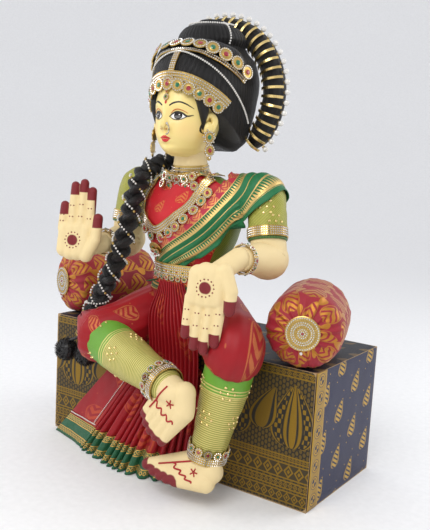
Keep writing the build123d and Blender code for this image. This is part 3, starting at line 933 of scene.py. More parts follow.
# ---------------------------------------------------------------- stones, pearls and settings
class Jewels:
    """Many small stones, pearls and settings gathered into one piece."""

    def __init__(self):
        self.verts, self.faces, self.kinds = [], [], []

    def add(self, verts, faces, kind):
        start = len(self.verts)
        self.verts += verts
        self.faces += [tuple(start + k for k in face) for face in faces]
        self.kinds += [kind] * len(faces)

    def rings(self, at, normal, levels, kind, sides):
        """Rings of (radius, height) along a direction, closed at both ends."""
        normal = normal.normalized()
        side = normal.cross(Vector((0.3, 0.2, 1)))
        side = (side if side.length > 0.1 else normal.cross(Vector((1, 0, 0)))).normalized()
        other = normal.cross(side)
        verts = []
        for radius, height in levels:
            for j in range(sides):
                a = 2 * pi * j / sides
                verts.append(at + side * (radius * cos(a)) + other * (radius * sin(a)) + normal * height)
        self.shell(verts, sides, kind)

    def shell(self, verts, sides, kind):
        """A closed shell of rings that follow each other."""
        rings = len(verts) // sides
        ends = [tuple((rings - 1) * sides + j for j in range(sides)), tuple(reversed(range(sides)))]
        self.add(verts, ring_faces(rings, sides) + ends, kind)

    def stone(self, at, normal, r, kind):
        """A cut stone in a gold cup."""
        if kind == GOLD:
            self.rings(at, normal, [(r, 0), (r * 0.95, r * 0.5), (r * 0.5, r * 0.9)], GOLD, 6)
            return
        self.rings(at, normal, [(r * 1.12, -0.2 * r), (r * 1.08, r * 0.35)], GOLD, 6)
        cut = [(r * 0.92, r * 0.2), (r * 0.9, r * 0.55), (r * 0.5, r)]
        self.rings(at, normal, cut, kind, 8 if r > 1.6 else 6)

    def pearl(self, at, r, kind=PEARL, sides=8):
        """A round bead."""
        levels = [(r * sin(t), -r * cos(t)) for t in (0.35, 0.95, pi / 2, pi - 0.95, pi - 0.35)]
        self.rings(at, Vector((0.1, 0.1, 1)), levels, kind, sides)

    def plate(self, at, normal, r, thick, sides=28):
        """A flat round setting."""
        self.rings(at, normal, [(r, -0.2), (r, thick * 0.7), (r * 0.96, thick)], GOLD, sides)

    def lobe(self, at, normal, r, kind, ring=True):
        """A round ornament: gold seat, a ring of small clear stones and a stone in the middle."""
        normal = normal.normalized()
        side = normal.cross(Vector((0, 0, 1))).normalized()
        up = side.cross(normal)
        self.plate(at, normal, r * 0.98, 0.8, sides=18)
        stone_r = min(1.3, r * 0.2)
        if ring:
            count = max(8, int(2 * pi * (r - stone_r) / (2.15 * stone_r)))
            for i in range(count):
                a = 2 * pi * i / count
                spot = at + normal * 0.8 + (side * cos(a) + up * sin(a)) * (r - stone_r)
                self.stone(spot, normal, stone_r, CLEAR)
        self.rings(at, normal, [(r * 0.50, 0.5), (r * 0.48, 1.3), (r * 0.42, 1.5)], GOLD, 14)
        self.rings(at, normal, [(r * 0.38, 1.2), (r * 0.35, 1.9), (r * 0.2, 2.5)], kind, 12)

    def row(self, line, pitch, r, kinds, shift=0.0, lift=0.0):
        """Stones at an even pitch along a line of (point, normal), shifted sideways."""
        count = max(int(length_of(line) / pitch), 1)
        for i, (at, normal, side) in enumerate(stops(line, count)):
            kind = kinds[i % len(kinds)]
            spot = at + side * shift + normal * lift
            if kind == PEARL:
                self.pearl(spot + normal * r, r)
            else:
                self.stone(spot, normal, r, kind)

    def lobes(self, line, pitch, r, kinds, shift, lift=0.0):
        """Round ornaments along a line."""
        count = max(round(length_of(line) / pitch), 1)
        for i, (at, normal, side) in enumerate(stops(line, count)):
            self.lobe(at + side * shift + normal * lift, normal, r, kinds[i % len(kinds)])

    def strip(self, line, low, high, lift):
        """A flat gold backing strip between two sideways shifts."""
        verts, faces = [], []
        count = max(int(length_of(line) / 2.5), 2)
        for at, normal, side in stops(line, count):
            for shift, up in ((low, lift), (high, lift), (high, lift - 0.7), (low, lift - 0.7)):
                verts.append(at + side * shift + normal * up)
        for i in range(count):
            for j in range(4):
                k = (j + 1) % 4
                faces.append((4 * i + j, 4 * i + 4 + j, 4 * i + 4 + k, 4 * i + k))
        faces += [(0, 1, 2, 3), tuple(4 * count + k for k in (3, 2, 1, 0))]
        self.add(verts, faces, GOLD)

    def ribbon(self, line, low, high, lift, pitch, r, clear, beads=(), bead_pitch=2.3):
        """A gold strip with rows of clear stones and rows of fine gold beads, at sideways shifts."""
        self.strip(line, low, high, lift)
        for shift in clear:
            self.row(line, pitch, r, [CLEAR], shift, lift)
        for shift in beads:
            self.row(line, bead_pitch, 0.8, [GOLD], shift, lift)

    def studs(self, tree, middle, along, out, reach, r):
        """A gold stud and six round it, where rays from outside meet the cloth."""
        for k in range(7):
            a, away = pi / 3 * k, reach if k < 6 else 0.0
            at = middle + along * (away * sin(a)) + along.cross(out) * (away * cos(a)) + out * 60
            hit = tree.ray_cast(at * MM, -out)
            if hit[0] is not None:
                self.rings(hit[0] / MM, hit[1], [(r, -0.2), (r - 0.2, r - 1.1), (r - 1.0, r - 0.4)], WIRE, 10)

    def cord(self, points, r, kind, sides=6):
        """A thin round wire or thread through points."""
        points = [Vector(p) for p in points]
        verts = []
        for (_, side, up), at in zip(frames_along(points), points):
            for j in range(sides):
                a = 2 * pi * j / sides
                verts.append(at + side * (r * cos(a)) + up * (r * sin(a)))
        self.shell(verts, sides, kind)

    def piece(self, name, body):
        made = make(name, self.verts, self.faces, jewel_materials, body, self.kinds, smooth=False)
        return outward(made)


def length_of(line):
    """The length of a line of (point, normal)."""
    return lengths([p for p, _ in line])[-1]


def stops(line, count):
    """Point, normal and sideways direction at even steps along a line of (point, normal)."""
    run = lengths([p for p, _ in line])
    for k in range(count + 1):
        distance = run[-1] * k / count
        i = min(max(bisect_right(run, distance) - 1, 0), len(line) - 2)
        share = (distance - run[i]) / max(run[i + 1] - run[i], 1e-6)
        (a, na), (b, nb) = line[i], line[i + 1]
        normal = na.lerp(nb, share).normalized()
        yield a.lerp(b, share), normal, normal.cross((b - a).normalized()).normalized()


# ---------------------------------------------------------------- body and blouse
def tube(name, controls, material, body=None, steps=8, around=40, crease=0.0, crease_size=16.0, ends=True):
    """A stuffed tube through (x, y, z, radius) controls, with soft wrinkles."""
    rows = tube_rows(controls, steps, around)
    for i, ring in enumerate(rows):
        middle = sum(ring, Vector()) / around
        fade = min(i / 3, (len(rows) - 1 - i) / 3, 1.0)
        for j, p in enumerate(ring):
            ring[j] = p + (p - middle).normalized() * crumple(p, crease_size, crease) * fade
    if ends:
        rows = rounded(rows)
    return grid(name, rows, material, body, closed=True, caps=ends)


def form_rows(form, low, high, extra, count, around, crease):
    """Rings of a form between two heights, with soft wrinkles."""
    rows = []
    for i in range(count + 1):
        z = low + (high - low) * i / count
        ring = []
        for j in range(around):
            p = form.at(-180 + 360 * j / around, z, extra)
            ring.append(p + (p - Vector((form.centre_x, -60, z))).normalized() * crumple(p, 20.0, crease))
        rows.append(ring)
    return rows


def add_torso():
    """The blouse's red front and its sides in olive silk painted darker as shade under the arms, the hips' silk and
    the neck.
    """
    rows = form_rows(body_form, 262, 403.4, 1.8, 48, 96, 0.9)
    # The sides take the darker olive, which is painted shade under the arms; the front panel is red.
    blouse = grid(
        "blouse_cloth", rows, [shaded_side_silk, blouse_red], "doll", closed=True, caps=True,
        pick=lambda v, u: 1 if 0.35 < u < 0.66 else 0,
    )
    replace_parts(blouse, "blouse", "torso")
    rows = form_rows(body_form, 181.2, 262, 4.6, 26, 96, 2.2)
    hips = grid("hip_silk", rows, sari_silk, "doll", closed=True, caps=True)
    neck_controls = [
        (0, -64, 396, 26), (0, -67, 402, 26.5), (0, -69, 408, 25), (0, -71, 415, 23.5), (0, -72, 425, 22),
        (0, -73, 434, 21),
    ]
    neck_skin = tube("neck_skin", neck_controls, cream_skin, "doll", around=48, crease=0.3)
    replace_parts(neck_skin, "neck")
    dowel = Cloth("dowel_wood", rgb(196, 160, 110), 0.6)
    dowel.vary(dowel.noise(4.0, 3.0, (1, 1, 0.1)), 0.3)
    set_material("neck_post", dowel.material)


def add_sash():
    """Orange-red brocade tucked round the waist under the belt."""
    cloth = leaf_brocade("sash_brocade", rgb(206, 58, 44), rgb(226, 168, 76), 16.0)
    rows = []
    for i in range(15):
        share = i / 14
        ring = []
        for j in range(97):
            turn = -180 + 360 * j / 96
            fold = 1.3 * cos(share * 4.5 * 2 * pi + sin(radians(turn) * 3) * 0.9)
            ring.append(body_form.at(turn, 246 + 21 * share, 6.2 + fold))
        rows.append(ring)
    edge = zari("sash_border", rgb(8, 78, 42), rgb(206, 164, 84), [
        (0.0, 2.0, "solid"), (2.6, 4.0, "line"), (8.6, 10.4, "solid"),
    ])
    sash = grid("sash_cloth", rows, [cloth, edge], "doll", thick=1.0, pick=lambda v, u: 1 if v < 0.45 else 0)
    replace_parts(sash, "waist_sash")


# The edges of the sari's shoulder end, from the waist over the left shoulder to the back.
pallu_upper = [
    (-62, -92, 268), (-40, -112, 292), (-8, -118, 318), (28, -112, 345), (52, -98, 375),
    (62, -78, 402), (60, -55, 412), (56, -30, 400), (45, -15, 372),
]
pallu_lower = [
    (-38, -108, 262), (-5, -112, 272), (28, -108, 286), (62, -95, 312), (92, -85, 345),
    (124, -78, 376), (134, -52, 392), (124, -28, 372), (98, -14, 340),
]


def settled(rows, under, lift):
    """Lays a grid of points on the nearest of the pieces under it, as (point, normal) pairs."""
    nearest = nearest_on(under)

    def clear(p):
        """Lifts a point out of whichever piece it is closest to."""
        at, normal = nearest(p)
        out = (p - at).dot(normal)
        return p + normal * (lift - out) if out < lift or out > lift + 6 else p

    points = [[clear(p) for p in row] for row in rows]
    for _ in range(10):
        fresh = [list(row) for row in points]
        for i in range(len(points)):
            for j in range(len(points[0])):
                near = [points[a][b] for a, b in ((i - 1, j), (i + 1, j), (i, j - 1), (i, j + 1))
                        if 0 <= a < len(points) and 0 <= b < len(points[0])]
                if len(near) == 4:
                    fresh[i][j] = points[i][j].lerp(sum(near, Vector()) / 4, 0.5)
        points = [[clear(p) for p in row] for row in fresh]
    return [[(p, nearest(p)[1]) for p in row] for row in points]


def add_pallu():
    """The sari's end: red brocade, gold bands and green silk, from the waist over the left shoulder."""
    cloth = zari("pallu_border", rgb(6, 104, 56), rgb(214, 180, 110), [
        (9.6, 11.0, "solid"), (11.0, 18.6, "zigzag"), (18.6, 20.2, "solid"), (26.6, 27.6, "solid"),
        (35.0, 36.2, "solid"), (36.2, 44.0, "zigzag"), (44.0, 46.0, "solid"), (48.6, 50.2, "solid"),
    ])
    brocade = leaf_brocade("pallu_brocade", rgb(176, 34, 58), rgb(206, 140, 80), 15.0)
    upper, lower = smooth_line(pallu_upper, 8), smooth_line(pallu_lower, 8)
    across = 36
    flat = [[Vector(a).lerp(Vector(b), i / across) for a, b in zip(upper, lower)] for i in range(across + 1)]
    rows = settled(flat, ["blouse_cloth", "sleeve_left"], 3.2)
    for i, row in enumerate(rows):
        s = i / across
        for j, (at, normal) in enumerate(row):
            t = j / (len(row) - 1)
            row[j] = at + normal * (1.1 * cos(s * 5 * 2 * pi) * (0.35 + 0.65 * abs(2 * t - 1)))
    pallu = grid(
        "pallu_cloth", rows, [cloth, brocade], "doll", thick=0.9, pick=lambda v, u: 1 if v < 0.18 else 0
    )
    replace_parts(pallu, "pallu")


# ---------------------------------------------------------------- arms
def add_arm(side):
    """Sleeve, bare elbow and forearm, as stuffed tubes."""
    s = 1 if side == "left" else -1
    sh, el, wr = (Vector(p[side]) for p in (shoulder, elbow, wrist))
    upper = el - sh
    sleeve_controls = [
        (body_x + s * 62, -58, 388, 15), (sh.x - s * 22, -55, 389, 20), (sh.x - s * 2, sh.y, 383.5, 24.6),
        (*(sh + upper * 0.25), 25.2), (*(sh + upper * 0.45), 24.6), (*(sh + upper * 0.62), 24.2),
    ]
    sleeve = tube(f"sleeve_{side}", sleeve_controls, olive_silk, None, 7, 48, crease=1.3, crease_size=18.0)
    mm(sh.x - s * 22, sh.y, sh.z)
    mm(*(sh + upper * 0.2))
    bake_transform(sleeve)
    fore = wr - el
    outer = Vector((0, 8, -6))
    skin_controls = [
        (*(sh + upper * 0.5), 21.5), (*(sh + upper * 0.7), 22.5), (
            *(sh + upper * 0.88 + Vector((0, 2, 0))), 23.5
        ),
        (*(el + Vector((0, 1, -1))), 25.5), (*(el + fore * 0.24 + outer * 0.1), 22.0),
        (*(el + fore * 0.45), 18.5), (*(el + fore * 0.64), 16.2), (*(el + fore * 0.72), 15.2),
    ]
    arm = tube(f"arm_skin_{side}", skin_controls, cream_skin, None, 7, 48, crease=0.8, crease_size=20.0)
    mm(*(sh + upper * 0.72))
    mm(*(el + fore * 0.45))
    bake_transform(arm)
    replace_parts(arm, f"upper_arm_{side}", f"forearm_{side}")


def mm(x, y, z):
    """A point in metres from millimetres."""
    return (x * MM, y * MM, z * MM)


# ---------------------------------------------------------------- hands and feet
def capsule(work, start, end, r0, r1):
    """Adds a closed round-ended limb to a mesh under construction."""
    sides = 20
    start, end = Vector(start), Vector(end)
    along = (end - start).normalized()
    side = along.cross(Vector((0.2, 0.3, 1)).normalized()).normalized()
    up = along.cross(side)
    rings = []
    for k in range(6):
        a = -pi / 2 + (k + 0.5) * pi / 12
        rings.append((start + along * (r0 * sin(a)), r0 * cos(a)))
    for k in range(6):
        a = (k + 0.5) * pi / 12
        rings.append((end + along * (r1 * sin(a)), r1 * cos(a)))
    loops = []
    for centre, r in rings:
        ring = []
        for j in range(sides):
            a = 2 * pi * j / sides
            ring.append(work.verts.new((centre + side * (r * cos(a)) + up * (r * sin(a))) * MM))
        loops.append(ring)
    for a, b in zip(loops, loops[1:]):
        for j in range(sides):
            k = (j + 1) % sides
            work.faces.new((a[j], a[k], b[k], b[j]))
    work.faces.new(list(reversed(loops[0])))
    work.faces.new(loops[-1])


def fused(name, capsules, material, body):
    """Overlapping stuffed limbs made into one smooth cloth skin."""
    work = bmesh.new()
    for spec in capsules:
        capsule(work, *spec)
    bmesh.ops.recalc_face_normals(work, faces=work.faces)
    mesh = bpy.data.meshes.new(name)
    work.to_mesh(mesh)
    work.free()
    piece = bpy.data.objects.new(name, mesh)
    bpy.context.scene.collection.objects.link(piece)
    modify(piece, "REMESH", mode="VOXEL", voxel_size=1.1 * MM, use_smooth_shade=True)
    modify(piece, "SMOOTH", factor=0.5, iterations=4)
    piece.data.materials.append(material)
    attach(piece, body)
    return piece


hands = {
    # Palm centre, the palm's turn from -Y about Z, the fingers' lean, fingers up or down, thumb's reach.
    "left": ((116.0, -182.0, 280.0), 16.0, -6.0, -1, 25),
    "right": ((-124.0, -158.0, 308.0), 22.0, 4.0, 1, 31),
}
# Each finger's place across the palm, and its reach.
finger_spots = [(-19.5, 50), (-6.5, 63), (6.5, 67), (19.0, 57)]
little_finger_share = {"left": 1.0, "right": 0.72}


def add_hand(side):
    """A stuffed cotton hand, palm forward, with dyed fingertips and a dyed ring on the palm."""
    centre, turn, lean, up, thumb_reach = hands[side]
    normal = Vector((sin(radians(turn)), -cos(radians(turn)), 0))
    across = Vector((cos(radians(turn)), sin(radians(turn)), 0))

    def spot(x, y, out=0.0):
        return Vector(centre) + across * (x + y * sin(radians(lean))) + Vector((0, 0, up * y)) + normal * out

    reaches = [reach for _, reach in finger_spots]
    reaches[0] *= little_finger_share[side]
    caps = [
        (spot(-14, -14), spot(-15, 15), 11.5, 9.5), (spot(13, -14), spot(14.5, 15), 11.5, 9.5),
        (spot(-5, -17), spot(-5, 16), 12, 10), (spot(5, -17), spot(5, 16), 12, 10),
        (spot(18, -20, 2), spot(30, 2, 4), 10.0, 8.2), (spot(30, 2, 4), spot(31.5, thumb_reach, 4), 8.0, 6.6),
        (Vector(wrist[side]) - Vector((0, -14, 0)), spot(4, -14, -4), 13.5, 13.0),
    ]
    onward = Vector((0, 0, up))
    tips = [spot(33.5, thumb_reach + 4.5, 4)]
    for (x, _), reach in zip(finger_spots, reaches):
        end = spot(x * 0.98, 16 + reach - 6.5)
        caps.append((spot(x, 14), end, 7.0, 5.9))
        tips.append(end + onward * 5)
    dips = [(tip - onward * 17.0, across, onward, 8.5 if k == 0 else 6.45) for k, tip in enumerate(tips)]
    cotton = skin_material(f"hand_cotton_{side}", [(spot(0, 0, 12.5), 7.6)], dips)
    hand = fused(f"hand_cloth_{side}", caps, cotton, f"hand_{side}")
    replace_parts(hand, f"hand_{side}")
    tree = tree_of(hand)
    dots = Jewels()

    def dab(x, y, r):
        """A dab of red dye, on the palm side."""
        hit = tree.ray_cast((spot(x, y, 60)) * MM, -normal)
        if hit[0] is not None:
            dots.rings(hit[0] / MM, hit[1], [(r, -0.3), (r * 0.8, 0.12)], 0, 8)

    for k in range(14):
        a = 2 * pi * k / 14
        dab(10.6 * cos(a), 10.6 * sin(a), 1.25)
    for (x, _), reach in zip(finger_spots, reaches):
        for row in (0.24, 0.48):
            for shift in (-2.16, 2.16):
                dab(x + shift, 16 + reach * row, 1.15)
    dye = plain("dye", dye_red, 0.6)
    outward(make(f"hand_dots_{side}", dots.verts, dots.faces, dye, f"hand_{side}", smooth=False))


# Each foot's toe roots from big to small, the limbs of its heel and instep, and its toes with their radii.
feet = {
    "left": {
        "roots": ((92, -160, 54), (116, -166, 34)),
        "caps": [
            ((107, -150, 66), (110, -156, 47), 21.0, 18.0),
            ((118, -157, 46), (104, -163, 38), 16.0, 16.0),
        ],
        "toes": [
            ((34, -176, 38), 8.0), ((46, -179, 33), 6.6), ((57, -180, 30.5), 6.4), ((68, -180, 29), 6.2),
            ((79, -179, 28), 5.8),
        ],
    },
    "right": {
        "roots": ((66, -187, 142), (96, -190, 124)),
        "caps": [((58, -183, 150), (80, -187, 144), 21, 18), ((94, -187, 148), (96, -189, 128), 14, 13.5)],
        "toes": [
            ((42, -193, 112), 8.0), ((46, -196, 102), 6.6), ((53, -197, 94), 6.4), ((61, -197, 88), 6.2),
            ((70, -196, 83), 5.8),
        ],
    },
}


def add_foot(side):
    """A stuffed foot with red toes and painted lines."""
    roots = [Vector(p) for p in feet[side]["roots"]]
    toes = [(Vector(at), r) for at, r in feet[side]["toes"]]
    marks, caps = [], list(feet[side]["caps"])
    for k, (at, r) in enumerate(toes):
        root = roots[0].lerp(roots[1], k / 4)
        caps.append((root, at, 13.5, r))
        marks.append((at + (at - root).normalized() * 3.0, 10.5))
    foot = fused(f"foot_cloth_{side}", caps, skin_material(f"foot_cotton_{side}", marks), f"shin_{side}")
    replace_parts(foot, f"foot_{side}")
    add_foot_paint(side, foot, roots, [at for at, _ in toes])


def add_foot_paint(side, foot, roots, toes):
    """Red wavy lines across the foot behind its toes, and a small star."""
    tree = tree_of(foot)
    paint, viewer = Jewels(), Vector((0.3, -0.9, 0.3)).normalized()

    def onto(p):
        hit = tree.ray_cast((p + viewer * 60) * MM, -viewer)
        return (hit[0] / MM, hit[1]) if hit[0] is not None else (None, None)

    row = [Vector(p) for p in smooth_line(toes, 10)]
    back = [roots[0].lerp(roots[1], i / (len(row) - 1)) for i in range(len(row))]
    wave = [a.lerp(b, 0.62 + 0.05 * sin(i * 0.55)) for i, (a, b) in enumerate(zip(row, back))]
    edge = [row[0].lerp(back[0], 0.3 + 1.0 * i / 20) for i in range(21)]
    for line in (wave, edge):
        found = [onto(p) for p in line]
        spots = [at + normal * 0.1 for at, normal in found if at is not None]
        if len(spots) > 4:
            paint.cord(spots, 1.15, 0, 6)
    middle = back[len(back) // 2].lerp(row[len(row) // 2], 0.05)
    for k in range(5):
        a = 2 * pi * k / 5
        ray = [onto(middle + Vector((cos(a) * r, 0, sin(a) * r))) for r in (0.5, 3.0, 5.5)]
        if all(at is not None for at, _ in ray):
            paint.cord([at + normal * 0.15 for at, normal in ray], 0.9, 0, 6)
    dye = plain(f"foot_dye_{side}", rgb(170, 24, 30), 0.6)
    outward(make(f"foot_paint_{side}", paint.verts, paint.faces, dye, f"shin_{side}"))


# ---------------------------------------------------------------- legs and the sari over them
def legging_material(name, edge):
    """Bright green at the knee, gold lines, then olive cloth with fine cross lines."""
    cloth = Cloth(name, rgb(104, 160, 44), 0.5)
    u, v = cloth.uv()
    cloth.vary(cloth.noise(24.0, 2.0), 0.18)
    lower = v.above(edge + 2.0, 0.8)
    cloth.paint(lower, rgb(150, 148, 62))
    lines = (v * (2 * pi / 2.7)).sine().above(0.15, 0.5) * lower
    bands = (v * (2 * pi / 4.0)).sine().above(0.2, 0.4)
    bands = bands * v.above(edge - 8.0, 0.5) * v.below(edge + 4.0, 0.5)
    share = lines.most(bands)
    cloth.paint(share * 0.85, rgb(222, 206, 130))
    cloth.drive("Metallic", share, 0.0, 0.5)
    weave(cloth, u, v, 0.9, 0.15, share)
    return cloth.material


legging = {"left": legging_material("legging_left", 98.0), "right": legging_material("legging_right", 86.0)}
# How far down the shin the rings of stud clusters lie, as shares of its length.
stud_rows = {"left": (0.36, 0.62), "right": (0.06, 0.42)}


def add_leg(side):
    """The stuffed shin in its striped legging, with small gold studs in clusters."""
    kn, an = Vector(knee[side]), Vector(ankle[side])
    down = an - kn
    bulge = Vector((0, 2.5, 0)) if side == "left" else Vector((0, 0, -2))
    start = kn - down.normalized() * 8
    controls = [
        (*start, 30), (*(kn + down * 0.04), 32.5), (*(kn + down * 0.2 + bulge), 31.5),
        (*(kn + down * 0.4 + bulge), 29.5), (*(kn + down * 0.6 + bulge * 0.6), 26.5), (
            *(kn + down * 0.78), 23.6
        ),
        (*(kn + down * 0.92), 22.4), (*an, 21.5),
    ]
    leg = tube(
        f"legging_{side}", controls, legging[side], f"shin_{side}", 8, 56, crease=0.9, crease_size=15.0
    )
    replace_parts(leg, f"shin_{side}")
    studs, tree = Jewels(), tree_of(leg)
    along = down.normalized()
    side_way = along.cross(Vector((0, -1, 0.2))).normalized()
    for row, share in enumerate(stud_rows[side]):
        for k in range(4):
            a = 2 * pi * (k + 0.5 * (1 - row)) / 4
            out = side_way * cos(a) + along.cross(side_way) * sin(a)
            studs.studs(tree, kn + down * share, along, out, 8.5, 1.9)
    studs.piece(f"legging_studs_{side}", f"shin_{side}")


def add_thigh(side):
    """Silk wrapped round the thigh and ended at the knee."""
    hp, kn = Vector(hip[side]), Vector(knee[side])
    down = (Vector(ankle[side]) - kn).normalized()
    run = kn - hp
    hem = 17.0 if side == "left" else -6.0
    controls = [
        (*(hp - run * 0.12), 33), (*(hp + run * 0.15 + Vector((0, 0, 1))), 34.5),
        (*(hp + run * 0.45 + Vector((0, 0, 2))), 34.5), (*(hp + run * 0.75 + Vector((0, 0, 1))), 35.5),
        (*(kn - run * 0.02 + down * min(hem, 0)), 37.0),
        (*(kn + run * 0.03 + down * (hem - 8)), 37.0), (*(kn + down * hem), 35.8),
    ]

    def folded(t, a):
        """Folds that run along the thigh and fade at the knee."""
        return 1 + 0.028 * cos(7 * a + 5 * t) * (1 - t) + 0.014 * cos(15 * a - 9 * t)

    rows = tube_rows(controls, 8, 72, folded)
    for ring in rows:
        for j, p in enumerate(ring):
            if p.y > -96:
                ring[j] = Vector((p.x, p.y, max(p.z, seat_h + 0.6)))
    wrap = grid(f"thigh_silk_{side}", rows, sari_silk, "doll", closed=True, thick=1.2)
    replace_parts(wrap, f"thigh_{side}")


def add_centre_pleats():
    """Narrow pleats from the waist down between the legs."""
    lines = [
        [(-17, -103, 262), (22, -103, 262)], [(-20, -106, 244), (32, -106, 244)],
        [(-26, -112, 215), (50, -112, 215)], [(-24, -110, 170), (58, -110, 170)], [
            (-18, -108, 116), (58, -108, 116)
        ],
    ]
    left = smooth_line([line[0] for line in lines], 10)
    right = smooth_line([line[1] for line in lines], 10)
    rows = []
    for i, (a, b) in enumerate(zip(left, right)):
        depth = 1.2 + 2.6 * i / len(left)
        row = []
        for j in range(121):
            s = j / 120
            saw = abs(((s * 13) % 1) - 0.5) * 4 - 1
            p = Vector(a).lerp(Vector(b), s)
            row.append(p + Vector((saw * 0.8, -depth * saw - 5 * sin(pi * s), 0)))
        rows.append(row)
    pleats = grid("sari_centre_pleats", rows, pleat_silk, "doll", thick=0.8)
    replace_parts(pleats, "sari_pleats")


skirt_top = [(-104, -98.5), (-60, -101), (-20, -103), (20, -103), (56, -100)]
skirt_floor = [(-206, -101), (-152, -117), (-79, -140), (-9, -148), (62, -118)]


def skirt_rows(low, high, count, columns=300):
    """The lower skirt's sheet: a flat panel at one end, then pleats that open towards the hem."""
    top = [Vector((x, y, 120)) for x, y in smooth_line(skirt_top, 20)]
    foot = [Vector((x, y, 0.8)) for x, y in smooth_line(skirt_floor, 20)]
    run_top, run_foot = lengths(top), lengths(foot)
    rows = []
    for i in range(count + 1):
        z = high + (low - high) * i / count
        share = (120 - z) / 119.2
        row = []
        for j in range(columns + 1):
            s = j / columns
            a, b = walk(top, run_top, s), walk(foot, run_foot, s)
            ahead, behind = walk(foot, run_foot, min(s + 0.01, 1)), walk(foot, run_foot, max(s - 0.01, 0))
            across = (ahead - behind).normalized()
            out = Vector((across.y, -across.x, 0))
            pleated = min(max((s - 0.27) / 0.05, 0), 1)
            phase = (s - 0.27) * 19 + 0.35 * sin(s * 21)
            saw = sin(2 * pi * phase) + 0.25 * sin(4 * pi * phase + 1.0)
            depth = (1.6 + 4.2 * share) * pleated
            p = a.lerp(b, share)
            lean = across * (saw * 1.6 * share * pleated)
            row.append(p + out * (depth * saw + 3.0) + lean + out * crumple(p, 30, 1.4))
        rows.append(row)
    return rows


def walk(points, run, share):
    """The point at a share of a line's length."""
    distance = run[-1] * share
    i = min(max(bisect_right(run, distance) - 1, 0), len(points) - 2)
    return points[i].lerp(points[i + 1], (distance - run[i]) / (run[i + 1] - run[i]))


def add_skirt():
    """Red silk above a green and gold border whose hem stands on the floor."""
    fan = grid("skirt_silk", skirt_rows(34, 150, 30), pleat_silk, "doll", thick=0.8)
    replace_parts(fan, "skirt_fan")
    border_cloth = zari("skirt_border_cloth", rgb(16, 84, 50), rgb(210, 166, 84), [
        (0.0, 1.4, "solid"), (1.8, 8.4, "chain"), (8.8, 10.4, "solid"), (24.4, 26.0, "solid"), (
            26.4, 34.0, "chain"
        ),
    ])
    border = grid("skirt_border_cloth", skirt_rows(0.8, 34, 12), border_cloth, "doll", thick=1.0)
    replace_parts(border, "skirt_border")
    stitches = Jewels()
    edge = [row[31] for row in skirt_rows(38, 128, 40, 120)]
    hem = skirt_rows(38, 112, 2, 120)[-1][:34]
    for line, out in ((edge, 1.6), (hem, 1.8)):
        for p in line:
            stitches.pearl(p - Vector((0, out, 0)), 0.9, PEARL, 6)
    stitches.piece("skirt_beads", "doll")


# ---------------------------------------------------------------- head and face
def head_shape():
    """The painted head: a smooth egg with brows, cheeks, nose, lips, chin and ears."""
    rows = []
    count, around = 96, 144
    for i in range(count + 1):
        z = 427.2 + (545 - 427.2) * (1 - cos(pi * i / count)) / 2
        rows.append([face_point(-180 + 360 * j / around, z) for j in range(around)])
    return rows


face_profile = [
    (427, 9.4, 16, -93), (431, 17.9, 26, -91), (438, 26.3, 35, -88.5), (450, 33.8, 43, -85), (464, 37.6, 47.5, -82),
    (480, 39.5, 50, -80),
    (500, 39.5, 50, -79), (520, 33.8, 43, -78), (536, 22.6, 28, -77), (545, 7.5, 10, -77),
]
face_form = Form(face_profile, 0.0)


def bulge(x, z, at_x, at_z, wide, high, out):
    """A soft bump on the face."""
    return out * 2.718 ** (-(((x - at_x) / wide) ** 2 + ((z - at_z) / high) ** 2))


def face_point(turn, z):
    """A point of the face's surface at a turn and a height."""
    p = face_form.at(turn, z)
    front = cos(radians(turn))
    if front <= 0:
        return p
    x = abs(p.x)
    out = 0.0
    out += bulge(x, z, 0, 465, 4.6, 4.6, 7.5) + bulge(x, z, 4.4, 462.6, 2.6, 2.6, 2.6)
    out += bulge(x, z, 0, 474, 3.4, 9.0, 4.6) + bulge(x, z, 0, 485, 4.0, 8.0, 1.6)
    out -= bulge(x, z, 15.5, 479, 9.5, 6.5, 3.4)
    out += bulge(x, z, 16, 491, 12, 5.5, 1.4)
    out += bulge(x, z, 20, 457, 11, 11, 2.0)
    out += bulge(x, z, 0, 451.6, 8.5, 2.2, 2.4) + bulge(x, z, 0, 446.4, 6.6, 2.5, 2.9)
    out -= bulge(x, z, 0, 449.0, 8.0, 0.9, 1.3)
    out += bulge(x, z, 0, 434.5, 9.5, 5.5, 3.6)
    out -= bulge(x, z, 0, 441.8, 8.0, 2.2, 1.2)
    return p + Vector((0, -out * front, 0))


def on_face(x, z, lift=0.15):
    """The face's surface in front of a place given from the front, with its normal."""
    low, high = -88.0, 88.0
    for _ in range(26):
        turn = (low + high) / 2
        if face_point(turn, z).x < x:
            low = turn
        else:
            high = turn
    p = face_point(turn, z)
    across = face_point(turn + 1, z) - face_point(turn - 1, z)
    upward = face_point(turn, z + 0.5) - face_point(turn, z - 0.5)
    normal = across.cross(upward).normalized()
    return p + normal * lift, normal


def painted_shape(name, outline, material, lift, dome=0.0):
    """A thin painted patch on the face inside a closed outline of (x, z) points."""
    line = smooth_line([*outline, outline[0]], 6)[:-1]
    n, rings = len(line), 7
    centre = (sum(p[0] for p in line) / n, sum(p[1] for p in line) / n)
    verts = []
    for r in range(rings):
        share, edge = 1 - r / rings, -0.35 if r == 0 else 0.0
        for x, z in line:
            at, normal = on_face(
                centre[0] + (x - centre[0]) * share, centre[1] + (z - centre[1]) * share, lift
            )
            verts.append(at + normal * (edge + dome * (1 - share**2)))
    verts.append(on_face(*centre, lift + dome)[0])
    last = (rings - 1) * n
    faces = ring_faces(rings, n) + [(last + j, last + (j + 1) % n, len(verts) - 1) for j in range(n)]
    return make(name, verts, faces, material, "head")


